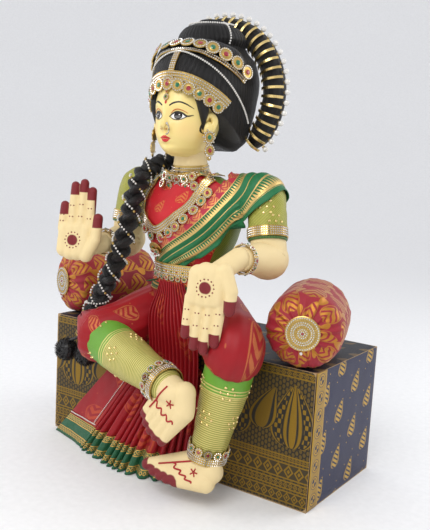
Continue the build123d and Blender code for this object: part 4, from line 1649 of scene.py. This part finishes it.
def painted_stroke(name, line, material, lift):
    """A brush stroke on the face through (x, z, half width) controls. Its two edges go under the skin."""
    points = smooth_line(line, 8)
    verts = []
    for i, (x, z, half) in enumerate(points):
        a, b = points[max(i - 1, 0)], points[min(i + 1, len(points) - 1)]
        dx, dz = b[0] - a[0], b[1] - a[1]
        size = hypot(dx, dz) or 1
        nx, nz = -dz / size, dx / size
        for shift in (-1, -0.5, 0, 0.5, 1):
            here = lift if abs(shift) < 1 else lift - 0.3
            verts.append(on_face(x + nx * half * shift, z + nz * half * shift, here)[0])
    faces = [
        (5 * i + k, 5 * i + k + 1, 5 * i + 6 + k, 5 * i + 5 + k)
        for i in range(len(points) - 1)
        for k in range(4)
    ]
    return make(name, verts, faces, material, "head")


def oval(x, z, wide, high, count):
    """An oval outline of (x, z) points round a place on the face."""
    return [(x + wide * cos(a), z + high * sin(a)) for a in [2 * pi * k / count for k in range(count)]]


# One eye's outline as (x, z), and its painted lines as (x, z, half width), on the doll's left.
eye = [
    (6.6, 477.0), (9.5, 480.4), (14.5, 482.3), (19.5, 481.2), (24.5, 477.6), (19.5, 474.6), (14.0, 473.6),
    (9.6, 474.4),
]
eye_liner = [
    (5.6, 476.4, 0.5), (9.5, 480.8, 0.8), (14.6, 483.0, 1.05), (19.8, 481.8, 1.1), (25.0, 478.2, 1.0),
    (30.5, 479.8, 0.3),
]
eye_lower = [
    (6.0, 476.6, 0.3), (9.8, 473.9, 0.4), (14.2, 472.9, 0.45), (19.6, 474.0, 0.5), (25.0, 477.6, 0.5)
]
eye_lid = [(7.0, 480.6, 0.3), (11.0, 484.6, 0.6), (16.0, 486.2, 0.7), (21.0, 484.8, 0.6), (26.0, 481.6, 0.3)]
brow = [(5.6, 490.2, 0.8), (11.0, 493.6, 1.15), (18.0, 495.2, 1.0), (25.0, 492.6, 0.75), (31.0, 487.6, 0.25)]
nostril = [(2.4, 461.2, 0.3), (3.8, 460.6, 0.5), (5.2, 461.6, 0.3)]
hair_curl = [
    (37.2, 476, 0.35), (36.0, 470, 0.5), (34.6, 464, 0.55), (34.4, 459.5, 0.5), (36.0, 457.6, 0.45),
    (37.2, 459.6, 0.3),
]
upper_lip = [
    (-8.0, 449.6), (-4.0, 451.9), (-1.4, 453.2), (0, 452.6), (1.4, 453.2), (4.0, 451.9), (8.0, 449.6), (
        4, 449.2
    ),
    (0, 448.8), (-4, 449.2),
]
lower_lip = [
    (-6.8, 448.9), (-3.4, 448.5), (0, 448.2), (3.4, 448.5), (6.8, 448.9), (4.2, 445.6), (0, 444.4), (
        -4.2, 445.6
    ),
]
lip_line = [(-8.2, 449.6, 0.2), (-4, 449.0, 0.3), (0, 448.5, 0.35), (4, 449.0, 0.3), (8.2, 449.6, 0.2)]


def add_head():
    """The head with its painted face and ears."""
    skin = Cloth("face_paint", face_colour, 0.42, coat=0.15)
    x, y, z = skin.place()
    blush_l = (((x - 24) * (x - 24) + (z - 462) * (z - 462)).root()).below(10.0, 16.0)
    blush_r = (((x + 24) * (x + 24) + (z - 462) * (z - 462)).root()).below(10.0, 16.0)
    skin.paint(blush_l.most(blush_r) * 0.18 * y.below(-95.0, 6.0), rgb(236, 160, 120))
    skin.bump(skin.noise(14.0, 2.0), 0.15)
    head = grid("head_painted", head_shape(), skin.material, "head", closed=True, caps=True)
    for s, side in ((-1, "right"), (1, "left")):
        ear = [
            (s * 37.5, -94, 454, 3.2), (s * 41.0, -91, 458, 4.0), (s * 43.5, -87, 466, 4.6), (
                s * 44.5, -84.5, 474, 4.8
            ),
            (s * 43.0, -87, 480, 4.2), (s * 40.5, -92, 481, 3.2), (s * 38.0, -95.5, 475, 2.4),
        ]
        tube(f"ear_{side}", ear, skin.material, "head", 6, 20)
        lobe = [
            (s * 37, -93, 469, 6), (s * 39.5, -92, 466, 7.5), (s * 40.5, -92, 459, 5.5),
            (s * 40.5, -92.5, 454, 3.6),
        ]
        tube(f"ear_shell_{side}", lobe, skin.material, "head", 6, 24)
    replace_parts(head, "head")
    black = plain("black_paint", (0.012, 0.010, 0.010), 0.35)
    white = plain("white_paint", rgb(248, 246, 240), 0.3)
    red = plain("red_paint", rgb(190, 24, 30), 0.35)
    brown = plain("iris_paint", rgb(22, 13, 9), 0.2)
    orange = plain("orange_paint", rgb(206, 110, 46), 0.4)
    rose = plain("lip_paint", rgb(206, 44, 44), 0.3)
    for s, side in ((1, "left"), (-1, "right")):
        for name, outline, paint, lift, dome in (
            ("eye_white", eye, white, 0.15, 0.9),
            ("eye_iris", oval(15.4, 478.2, 4.9, 4.6, 12), brown, 1.05, 0.35),
            ("eye_glint", oval(16.6, 479.6, 0.9, 0.9, 8), white, 1.55, 0.1),
        ):
            painted_shape(f"{name}_{side}", [(s * x, z) for x, z in outline][::s], paint, lift, dome)
        for name, line, paint, lift in (
            ("eye_liner", eye_liner, black, 0.9), ("eye_lower", eye_lower, black, 0.75),
            ("eye_lid", eye_lid, orange, 0.35), ("brow", brow, black, 0.35),
            ("nostril", nostril, orange, 0.3), ("hair_curl", hair_curl, black, 0.35),
        ):
            painted_stroke(f"{name}_{side}", [(s * x, z, h) for x, z, h in line], paint, lift)
    painted_shape("lip_upper", upper_lip[::-1], rose, 0.25)
    painted_shape("lip_lower", lower_lip[::-1], rose, 0.25)
    painted_stroke("lip_line", lip_line, red, 0.4)
    painted_shape("bindi", oval(0, 494.6, 1.7, 2.3, 10), red, 0.3, 0.5)


# ---------------------------------------------------------------- hair
def add_hair():
    """Combed hair, the rolled ridge behind the tiara and the bun, as grooved thread."""
    rows = []
    around, count = 360, 44
    for i in range(count + 1):
        s = i / count
        ring = []
        for j in range(around):
            turn = -180 + 360 * j / around
            low = on_hair_height(turn, 0.3)
            z = low + (573.5 - low) * s
            p = hair_form.at(turn, z)
            n = hair_form.normal(turn, z)
            strand = 0.28 * cos(radians(turn) * 80 + 5 * sin(s * 4 + turn * 0.05))
            strand += 0.5 * crumple(p, 9.0, 0.8)
            ring.append(p + n * strand)
        rows.append(ring)
    edge = rows[0]
    middle = sum(edge, Vector()) / around
    for share, drop_by in ((0.94, 3.0), (0.8, 6.5), (0.5, 8.0)):
        under = []
        for j, p in enumerate(edge):
            behind = min(max((abs(-180 + 360 * j / around) - 100) / 35, 0), 1)
            under.append(middle.lerp(p, share) - Vector((0, 0, drop_by * behind)))
        rows.insert(0, under)
    cap = grid("hair_combed", rows, black_hair, "head", closed=True, caps=True)
    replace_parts(cap, "hair_cap")
    for side, s in (("left", 1), ("right", -1)):
        lock = [
            (s * 31, -107, 508, 6.5), (s * 36, -104, 499, 7.6), (s * 38.0, -101.5, 489, 7.4),
            (s * 38.4, -100.5, 479, 5.0), (s * 38.2, -100, 470, 2.4), (s * 37.6, -100, 463, 0.9),
        ]
        tube(f"hair_lock_{side}", lock, black_hair, "head", 6, 18)
    ridge_rows = []
    for i in range(17):
        a = pi * i / 16
        row = []
        for j in range(241):
            turn = -84 + 168 * j / 240
            rise = 67.5 - 10.0 * cos(a)
            fade = min(1.0, (84 - abs(turn)) / 14)
            lift = 0.2 + 9.0 * sin(a) * sqrt(max(fade, 0)) + 0.3 * cos(turn * 1.9 + a * 3)
            at, normal = on_hair(turn, rise)
            row.append(at + normal * max(lift, 0.1))
        ridge_rows.append(row)
    ridge = grid("hair_rolled", ridge_rows, hair_material("hair_roll_thread", True), "head", thick=0.6)
    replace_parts(ridge, "hair_ridge")
    bun_rows = []
    for i in range(25):
        s = i / 24
        z = 571.0 + 36.0 * s
        on_form = min(z, 606.0)
        ring = []
        for j in range(240):
            turn = -180 + 360 * j / 240
            wave = 0.45 * cos(radians(turn) * 52 + 7 * s) + 0.9 * cos(radians(turn) * 3 + 5 * s)
            at = bun_form.at(turn, on_form, wave + 1.5 * sin(pi * s))
            ring.append(at + Vector((0, 0, z - on_form)))
        bun_rows.append(ring)
    bun = grid("bun_thread", rounded(bun_rows, 0.15), black_hair, "head", closed=True, caps=True)
    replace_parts(bun, "top_bun")


def on_hair_height(turn, rise):
    """The height at which the hair's surface crosses a distance above the hairline."""
    low, high = 438.5, 572.0
    for _ in range(20):
        z = (low + high) / 2
        if (hair_form.at(turn, z) - slope_at).dot(slope_up) < rise:
            low = z
        else:
            high = z
    return z


def add_halo():
    """The crescent roll of black thread with flat gold wires over it and pearls outside."""
    rows = []
    steps, around = 150, 40
    for i in range(steps + 1):
        s = i / steps
        angle = radians(halo_start + halo_span * s)
        spoke = Vector((cos(angle), 0, sin(angle)))
        centre = Vector((0, halo_y, halo_z)) + spoke * halo_r
        end = min(s, 1 - s) * 14
        r = halo_thick * sqrt(min(1.0, 0.30 + end))
        ring = []
        for j in range(around):
            a = 2 * pi * j / around
            strand = 0.35 * cos(14 * a + 3 * sin(9 * s)) + 0.4 * crumple((i * 2.0, j * 1.0, 5.0), 9.0, 1.0)
            ring.append(
                centre + spoke * ((r + strand) * cos(a)) + Vector((0, -1, 0)) * ((r + strand) * sin(a))
            )
        rows.append(ring)
    roll = grid("halo_thread", rows, black_hair, "head", closed=True, caps=True)
    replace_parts(roll, "halo_roll")
    wires, beads = Jewels(), Jewels()
    step = halo_span / halo_pins
    for i in range(halo_pins):
        angle = radians(halo_start + step * (i + 0.5))
        spoke = Vector((cos(angle), 0, sin(angle)))
        along = Vector((-sin(angle), 0, cos(angle)))
        centre = Vector((0, halo_y, halo_z)) + spoke * halo_r
        arch = []
        for k in range(15):
            a = radians(-72 + 144 * k / 14)
            arch.append(centre + Vector((0, -1, 0)) * (17.0 * cos(a)) + spoke * (17.0 * sin(a)))
        for shift in (-1.1, 0.0, 1.1):
            wires.cord([p + along * shift for p in arch], 0.8, WIRE, 6)
    for i in range(1, halo_pins):
        angle = radians(halo_start + step * i)
        spoke = Vector((cos(angle), 0, sin(angle)))
        centre = Vector((0, halo_y, halo_z)) + spoke * (halo_r + halo_thick + 4.3)
        beads.pearl(centre, 4.0, PEARL, 16)
        beads.rings(centre - spoke * 4.4, spoke, [(2.2, -0.6), (2.0, 0.8)], GOLD, 8)
    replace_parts(wires.piece("halo_wires", "head"), "halo_pins")
    pearls = beads.piece("halo_beads", "head")
    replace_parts(pearls, "halo_pearls")


def upright(line, rise, lift):
    """A line of (point, normal) moved up or down the slope it lies on."""
    out = []
    for at, normal in line:
        up = (slope_up - normal * slope_up.dot(normal)).normalized()
        out.append((at + up * rise + normal * lift, normal))
    return out


def add_head_jewels():
    """Forehead band, parting strip, pearl chain, tiara, bun trim, tikka, ear studs and drops."""
    alternate = [GREEN, RED]
    band = Jewels()
    line = [on_hair(turn, 12.0, 1.6) for turn in range(-62, 63, 2)]
    band.strip(line, -6.4, 6.4, 1.2)
    for shift in (-3.6, 0.0, 3.6):
        band.row(line, 3.1, 1.45, [CLEAR], shift, 1.2)
    for shift in (-5.8, 5.8):
        band.row(line, 2.4, 0.8, [GOLD], shift, 1.2)
    band.lobes(upright(line, -11.0, 3.4)[3:-3], 15.6, 8.4, alternate, 0.0, 0.4)
    centre_at, centre_normal = on_hair(0, 6.0, 4.4)
    band.lobe(centre_at, centre_normal, 9.0, RED)
    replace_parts(band.piece("band_stones", "head"), "forehead_band")
    parting = Jewels()
    line = [on_hair(0.01 * k, rise, 0.8) for k, rise in enumerate(range(18, 50, 2))]
    parting.strip(line, -4.6, 4.6, 1.0)
    for shift in (-3.0, 0.0, 3.0):
        parting.row(line, 2.9, 1.3, [CLEAR], shift, 1.0)
    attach(parting.piece("parting_stones", "head"), "head")
    chain = Jewels()
    for s in (-1, 1):
        line = [on_hair(s * (2 + 95 * k / 30), 45 - 23 * (k / 30) ** 1.2, 0.6) for k in range(31)]
        chain.row(line, 3.0, 1.4, [PEARL], 0.0, 0.0)
    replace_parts(chain.piece("hair_pearls", "head"), "hair_pearl_chain")
    tiara = Jewels()
    line = [on_hair(turn, 49.0, 1.4) for turn in range(-80, 81, 2)]
    tiara.strip(line, -3.6, 3.6, 1.4)
    for shift in (-1.8, 1.8):
        tiara.row(line, 3.0, 1.4, [CLEAR], shift, 1.4)
    tiara.lobes(upright(line, 7.8, 5.8)[2:-2], 18.0, 9.4, alternate, 0.0, 0.8)
    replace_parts(tiara.piece("tiara_stones", "head"), "tiara")
    bun_trim = Jewels()
    line = [(bun_form.at(turn, 601.0, 2.0), bun_form.normal(turn, 601.0)) for turn in range(-100, 101, 4)]
    bun_trim.row(line, 2.9, 1.35, [PEARL], 0.0, 0.0)
    line = [(bun_form.at(62, z, 2.2), bun_form.normal(62, z)) for z in range(576, 603, 2)]
    bun_trim.row(line, 2.9, 1.35, [PEARL], 0.0, 0.0)
    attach(bun_trim.piece("bun_trim", "head"), "head")
    pendant = Jewels()
    drop_at = on_face(0, 500.5, 1.0)
    pendant.lobe(drop_at[0], drop_at[1], 4.2, GREEN)
    pendant.lobe(on_face(0, 506.5, 1.4)[0], on_face(0, 506.5)[1], 2.6, RED, ring=False)
    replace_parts(pendant.piece("tikka_stones", "head"), "tikka")
    nose = Jewels()
    at, normal = on_face(4.6, 462.8, 0.6)
    ring_points = [
        at + Vector((3.0 + 3.6 * cos(a), -1.6, -2.2 + 6.0 * sin(a))) for a in [2 * pi * k / 18 for k in range(19)]
    ]
    nose.cord(ring_points, 0.5, GOLD)
    for p in (*ring_points[:5], *ring_points[13:]):
        nose.stone(p, Vector((0.3, -1, 0)), 1.0, CLEAR)
    nose.stone(*on_face(4.4, 467.5, 0.4), 2.0, CLEAR)
    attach(nose.piece("nose_ring", "head"), "head")
    for side, s in (("left", 1), ("right", -1)):
        stud, out = Jewels(), Vector((s, -0.35, 0)).normalized()
        centre = Vector((s * 44.6, -95, 453.5))
        stud.lobe(centre, out, 8.4, GREEN)
        for k in range(10):
            a = 2 * pi * k / 10
            side_way = out.cross(Vector((0, 0, 1))).normalized()
            stud.stone(centre + (side_way * cos(a) + Vector((0, 0, 1)) * sin(a)) * 9.4, out, 1.2, CLEAR)
        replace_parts(stud.piece(f"ear_rosette_{side}", "head"), f"ear_stud_{side}")
        dangle = Jewels()
        centre = Vector((s * 46.2, -95.2, 437.0))
        dangle.lobe(centre, out, 8.2, RED)
        dangle.lobe(centre - Vector((0, 0, 9.6)), out, 3.4, CLEAR, ring=False)
        dangle.cord([centre + Vector((0, 0, 5.6)), centre + Vector((0, 0, 8.2))], 0.8, GOLD)
        for k in range(-2, 3):
            dangle.pearl(centre + Vector((0, k * 2.3, -8.4 + abs(k) * 1.4)), 1.2)
        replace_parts(dangle.piece(f"ear_dangle_{side}", f"earring_{side}"), f"earring_{side}")


# ---------------------------------------------------------------- plait
def add_plait():
    """A three-strand plait of black thread with pearl strings, which hangs over the right shoulder."""
    curve = bpy.data.curves.new("plait_line", "CURVE")
    curve.dimensions = "3D"
    spline = curve.splines.new("NURBS")
    spline.points.add(len(plait_route) - 1)
    for point, at in zip(spline.points, plait_route):
        point.co = (*mm(*at), 1)
    spline.order_u = 3
    spline.use_endpoint_u = True
    spline.resolution_u = 24
    holder = bpy.data.objects.new("plait_line", curve)
    line_mesh = bpy.data.meshes.new_from_object(holder)
    line = [v.co / MM for v in line_mesh.vertices]
    bpy.data.meshes.remove(line_mesh)
    bpy.data.objects.remove(holder)
    bpy.data.curves.remove(curve)
    run = lengths(line)
    total = run[-1]
    steps = 360
    points = [walk(line, run, i / steps) for i in range(steps + 1)]
    axes = frames_along(points)
    pitch, verts, faces, uvs = 56.0, [], [], []
    around = 22
    for strand in range(3):
        start = len(verts)
        for i, (point, (_, side, up)) in enumerate(zip(points, axes)):
            s = total * i / steps
            phase = 2 * pi * s / pitch + 2 * pi * strand / 3
            thin = 1.0 - 0.16 * (i / steps) if i / steps < 0.94 else 0.85 - 4.4 * (i / steps - 0.94)
            centre = point + side * (7.6 * sin(phase) * thin) + up * (4.2 * sin(2 * phase) * thin)
            for j in range(around):
                a = 2 * pi * j / around
                groove = 0.25 * cos(9 * a + s * 0.25)
                wide, high = (9.0 + groove) * thin, (8.4 + groove) * thin
                verts.append(centre + side * (wide * cos(a)) + up * (high * sin(a)))
        for i in range(steps):
            for j in range(around):
                k = (j + 1) % around
                faces.append((start + i * around + j, start + i * around + k,
                              start + (i + 1) * around + k, start + (i + 1) * around + j))
                for di, dj in ((0, 0), (0, 1), (1, 1), (1, 0)):
                    uvs.append(((j + dj) * 2.2 + (i + di) * 0.35, (i + di) * total / steps))
        for ends in (range(around - 1, -1, -1), range(steps * around, (steps + 1) * around)):
            faces.append(tuple(start + e for e in ends))
            uvs += [(e * 2.2, 0.0) for e in range(around)]
    plait = outward(make("plait_strands", verts, faces, black_hair, "doll", uvs=uvs))
    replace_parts(plait, "plait")
    strings = Jewels()
    for k in range(10):
        middle = 60 + (total - 90) * k / 9
        slant = -32.0
        beads = []
        for q in range(15):
            a = radians(-100 + 200 * q / 14)
            s = middle + slant * (q / 14 - 0.5)
            i = min(int(s / total * steps), steps)
            _, side, up = axes[i]
            facing = Vector((0.45, -0.85, 0.1))
            front = (facing - axes[i][0] * facing.dot(axes[i][0])).normalized()
            across = axes[i][0].cross(front)
            beads.append(points[i] + front * (13.2 * cos(a)) + across * (15.2 * sin(a)))
        for q, at in enumerate(beads):
            strings.pearl(at, 1.55 if q % 5 else 1.9, PEARL if q % 5 else GOLD)
        if k == 8:
            for q in range(15):
                a = radians(-100 + 200 * q / 14)
                s = middle - slant * (q / 14 - 0.5)
                i = min(int(s / total * steps), steps)
                front = (facing - axes[i][0] * facing.dot(axes[i][0])).normalized()
                across = axes[i][0].cross(front)
                strings.pearl(points[i] + front * (13.6 * cos(a)) + across * (15.2 * sin(a)), 1.55)
    pearls = strings.piece("plait_pearls", "doll")
    tie = Jewels()
    end, down = points[-1], axes[-1][0]
    for k in range(4):
        tie.rings(
            end + down * (k * 1.8 - 1.0), down, [(9.5, -0.8), (10.4, 0), (9.5, 0.8)],
            GOLD if k % 2 else BLACK, 20,
        )
    band = tie.piece("plait_band", "doll")
    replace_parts(band, "plait_tie")
    tufts = []
    for k, x in enumerate((-176.0, -136.0)):
        tufts.append(add_pompom(f"plait_tuft_{k + 1}", Vector((x, -117, 136.5)), 19.5, end + down * 4, k))
    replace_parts(tufts[0], "plait_pompoms")
    mm(*plait_route[0])
    [mm(*p) for p in line]


def add_pompom(name, centre, r, tied_to, seed):
    """A ball of cut black thread on a short twist."""
    chance = random.Random(11 + seed)
    work = Jewels()
    levels = [(0.80 * r * sin(t), -0.80 * r * cos(t)) for t in [0.2 + 0.3 * q for q in range(10)]]
    work.rings(centre, Vector((0, 0, 1)), levels, 0, 20)
    for _ in range(1500):
        z = chance.uniform(-1, 1)
        a = chance.uniform(0, 2 * pi)
        flat = sqrt(1 - z * z)
        out = Vector((flat * cos(a), flat * sin(a), z))
        side = out.cross(Vector((chance.uniform(-1, 1), chance.uniform(-1, 1), 1))).normalized()
        other = out.cross(side)
        length = r * chance.uniform(0.9, 1.0)
        root, tip = centre + out * (0.7 * r), centre + out * length + side * chance.uniform(-1.2, 1.2)
        wide = 0.42
        work.add(
            [
                root + side * wide, root - side * wide * 0.5 + other * wide,
                root - side * wide * 0.5 - other * wide, tip,
            ],
            [(0, 1, 3), (1, 2, 3), (2, 0, 3), (2, 1, 0)], 0,
        )
    work.cord(
        [tied_to, tied_to.lerp(centre, 0.4) + Vector((0, -1, 3)), centre + Vector((0, 0, r * 0.6))], 2.2,
        0, 10,
    )
    return outward(make(name, work.verts, work.faces, black_hair, "doll", smooth=False))


# ---------------------------------------------------------------- necklaces, belt, cuffs, bangles and anklets
def ring_line(centre, axis, radius, towards, count=72, from_angle=0.0, to_angle=360.0, lift=0.0):
    """A line of (point, normal) round a limb, starting from the side that faces towards."""
    axis = axis.normalized()
    front = (towards - axis * towards.dot(axis)).normalized()
    side = axis.cross(front)
    line = []
    for i in range(count + 1):
        a = radians(from_angle + (to_angle - from_angle) * i / count)
        out = front * cos(a) + side * sin(a)
        line.append((centre + out * (radius + lift), out))
    return line


def line_on(controls, under, lift):
    """A line of (point, normal) on the nearest of the pieces under it, with evened normals."""
    depsgraph = bpy.context.evaluated_depsgraph_get()
    trees = [BVHTree.FromObject(bpy.data.objects[name], depsgraph) for name in under]
    line = []
    for p in smooth_line(controls, 8):
        hits = [tree.find_nearest(Vector(p) * MM) for tree in trees]
        at, normal, _, _ = min(hits, key=lambda hit: hit[3])
        line.append((at / MM, normal))
    even = []
    for i, (at, normal) in enumerate(line):
        near = sum((n for _, n in line[max(i - 3, 0):i + 4]), Vector()).normalized()
        even.append((at + near * lift, near))
    return even


def add_necklaces():
    """Choker, broad collar and the long double necklace with its pendant."""
    choker = Jewels()
    axis = Vector((0, -0.12, 1))
    line = ring_line(Vector((0, -71, 413)), axis, 23.2, Vector((0, -1, 0)), 72)
    choker.strip(line, -5.0, 5.0, 0.9)
    for shift in (-2.0, 1.6):
        choker.row(line, 2.6, 1.2, [CLEAR], shift, 0.9)
    choker.row(line, 2.4, 0.8, [GOLD], -4.6, 0.9)
    front = ring_line(Vector((0, -71, 413)), axis, 23.2, Vector((0, -1, 0)), 60, -100, 100)
    choker.lobes([(p - Vector((0, 0, 6.2)) + n * 1.5, n) for p, n in front], 9.4, 3.9, [RED, GREEN], 0.0)
    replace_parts(choker.piece("choker_stones", "doll"), "choker")
    collar = Jewels()
    path = [
        (-46, -56, 409), (-46, -70, 407), (-39, -84, 404), (-24, -94, 400), (-5, -98, 397), (14, -96, 399),
        (29, -87, 404), (39, -73, 409), (43, -56, 412),
    ]
    line = line_on(path, ["blouse_cloth"], 1.4)
    collar.strip(line, -6.0, 8.5, 1.2)
    for shift in (-4.2, 5.6):
        collar.row(line, 2.5, 1.1, [CLEAR], shift, 1.2)
    collar.row(line, 2.3, 0.8, [GOLD], 8.0, 1.2)
    collar.lobes(line[5:-5], 12.6, 6.0, [GREEN, RED], 0.8, 1.6)
    collar.lobes(line[8:-10], 13.2, 6.4, [RED, GREEN], -11.4, 0.8)
    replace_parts(collar.piece("collar_stones", "doll"), "collar_necklace")
    long_one = Jewels()
    path = [
        (-47, -84, 407), (-57, -93, 392), (-64, -96, 372), (-60, -98, 354), (-43, -106, 340), (
            -22, -110, 330
        ),
        (4, -112, 344), (23, -108, 362), (31, -100, 380), (38, -92, 394), (47, -84, 405),
    ]
    line = line_on(path, ["blouse_cloth", "sleeve_left", "pallu_cloth"], 2.6)
    long_one.strip(line, -6.0, 5.0, 0.9)
    for shift in (-4.0, -0.6, 2.8):
        long_one.row(line, 2.7, 1.25, [CLEAR], shift, 0.9)
    for edge in (-5.8, 4.8):
        long_one.row(line, 2.3, 0.8, [GOLD], edge, 0.9)
    long_one.lobes(line[6:-12], 13.6, 7.2, [GREEN, RED], -12.0, 0.6)
    at, normal = line_on([(-21, -112, 304), (-19, -112, 302)], ["blouse_cloth", "pallu_cloth"], 4.0)[0]
    up = Vector((0, 0, 1))
    side = normal.cross(up).normalized()
    long_one.plate(at, normal, 9.5, 1.0)
    for k, kind in enumerate((GREEN, RED, GREEN, RED)):
        a = pi / 4 + k * pi / 2
        long_one.lobe(at + (side * cos(a) + up * sin(a)) * 4.6 + normal * 0.8, normal, 4.2, kind)
    for k in range(-2, 3):
        long_one.pearl(at + side * (k * 3.4) - up * (10.5 - abs(k)) + normal * 0.6, 1.5)
    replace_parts(long_one.piece("long_necklace_stones", "doll"), "long_necklace")


def add_belt():
    """The four-row stone belt with drops under it."""
    belt = Jewels()

    def on_waist(turn, z, lift=0.0):
        normal = body_form.normal(turn, z)
        return body_form.at(turn, z) + normal * lift, normal

    line = [on_waist(turn, 278, 6.6) for turn in range(-180, 181, 4)]
    belt.strip(line, -8.6, 8.6, 1.0)
    for k, kinds in enumerate(([CLEAR], [CLEAR, CLEAR, GREEN, CLEAR, CLEAR, RED], [CLEAR], [CLEAR])):
        belt.row(line, 2.9, 1.3, kinds, -5.6 + 3.6 * k, 1.0)
    for edge in (-8.0, 8.0):
        belt.row(line, 2.4, 0.8, [GOLD], edge, 1.0)
    lower = [on_waist(turn, 266.5, 7.6) for turn in range(-110, 111, 4)]
    belt.lobes(lower, 9.2, 4.2, [GREEN, RED], 0.0)
    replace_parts(belt.piece("belt_stones", "doll"), "waist_belt")


def add_limb_jewels(side):
    """The sleeve's cuff with its green piping, the bangle and the anklet."""
    sh, el, wr = (Vector(p[side]) for p in (shoulder, elbow, wrist))
    viewer = Vector((0.56, -0.82, 0.1))
    cuff = Jewels()
    along = (el - sh).normalized()
    centre = sh + (el - sh) * 0.60
    line = ring_line(centre, along, 24.8, viewer, 90)
    cuff.strip(line, -6.4, 6.4, 0.9)
    for k in range(4):
        cuff.row(line, 2.7, 1.2, [CLEAR], -4.4 + 2.9 * k, 0.9)
    for edge in (-6.2, 6.2):
        cuff.row(line, 2.3, 0.8, [GOLD], edge, 0.9)
    made = cuff.piece(f"cuff_stones_{side}", f"upper_arm_{side}")
    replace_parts(made, f"sleeve_cuff_{side}")
    piping = [(*p, 1.7) for p, _ in ring_line(centre + along * 8.6, along, 23.8, viewer, 40)]
    tube(f"sleeve_piping_{side}", piping, deep_green, f"upper_arm_{side}", 2, 10, ends=False)
    studs = Jewels()
    sleeve = bpy.data.objects[f"sleeve_{side}"]
    tree = BVHTree.FromObject(sleeve, bpy.context.evaluated_depsgraph_get())
    for share, turn in ((0.24, 4), (0.46, -22)):
        out = ring_line(Vector(), along, 1.0, viewer, 1, turn, turn)[0][1]
        for q in range(7):
            b = 2 * pi * q / 6
            r = 8.6 if q < 6 else 0.0
            at = sh + (el - sh) * share + along * (r * sin(b)) + along.cross(out) * (r * cos(b))
            hit = tree.ray_cast((at + out * 60) * MM, -out)
            if hit[0] is not None:
                studs.rings(hit[0] / MM, hit[1], [(1.8, -0.2), (1.6, 0.7), (0.8, 1.4)], WIRE, 10)
    studs.piece(f"sleeve_studs_{side}", f"upper_arm_{side}")
    bangle = Jewels()
    along = (wr - el).normalized()
    centre = el + (wr - el) * 0.70
    line = ring_line(centre, along, 16.8, viewer, 72)
    bangle.strip(line, -4.2, 4.2, 1.0)
    for edge in (-3.4, 3.4):
        bangle.row(line, 2.5, 1.05, [CLEAR], edge, 1.0)
    bangle.lobes(line[:-1], 7.4, 3.5, [RED, GREEN], 0.0, 1.0)
    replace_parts(bangle.piece(f"bangle_stones_{side}", f"forearm_{side}"), f"bangle_{side}")
    anklet = Jewels()
    kn, an = Vector(knee[side]), Vector(ankle[side])
    along = (an - kn).normalized()
    centre = kn + (an - kn) * (0.985 if side == "left" else 0.97)
    line = ring_line(centre, along, 23.4, viewer, 90)
    anklet.strip(line, -6.0, 5.0, 1.0)
    for shift in (-3.8, -0.8, 2.2):
        anklet.row(line, 2.7, 1.2, [CLEAR], shift, 1.0)
    for shift in (-5.6, 4.6):
        anklet.row(line, 2.3, 0.8, [GOLD], shift, 1.0)
    anklet.lobes([(p - along * 10.5 + n * 0.8, n) for p, n in line], 11.6, 5.6, [GREEN, RED], 0.0, 0.4)
    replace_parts(anklet.piece(f"anklet_stones_{side}", f"shin_{side}"), f"anklet_{side}")


# ---------------------------------------------------------------- everything, in order
bpy.context.scene.view_settings.view_transform = "Standard"
add_camera()
add_studio()
add_seat()
for side in ("left", "right"):
    add_bolster(side, leaf_brocade(f"bolster_brocade_{side}", rgb(150, 18, 36), rgb(190, 132, 44), 34.0))
add_torso()
add_sash()
for side in ("left", "right"):
    add_arm(side)
    add_hand(side)
    add_leg(side)
    add_foot(side)
    add_thigh(side)
    add_limb_jewels(side)
add_pallu()
add_centre_pleats()
add_skirt()
add_head()
add_hair()
add_halo()
add_head_jewels()
add_plait()
add_necklaces()
add_belt()
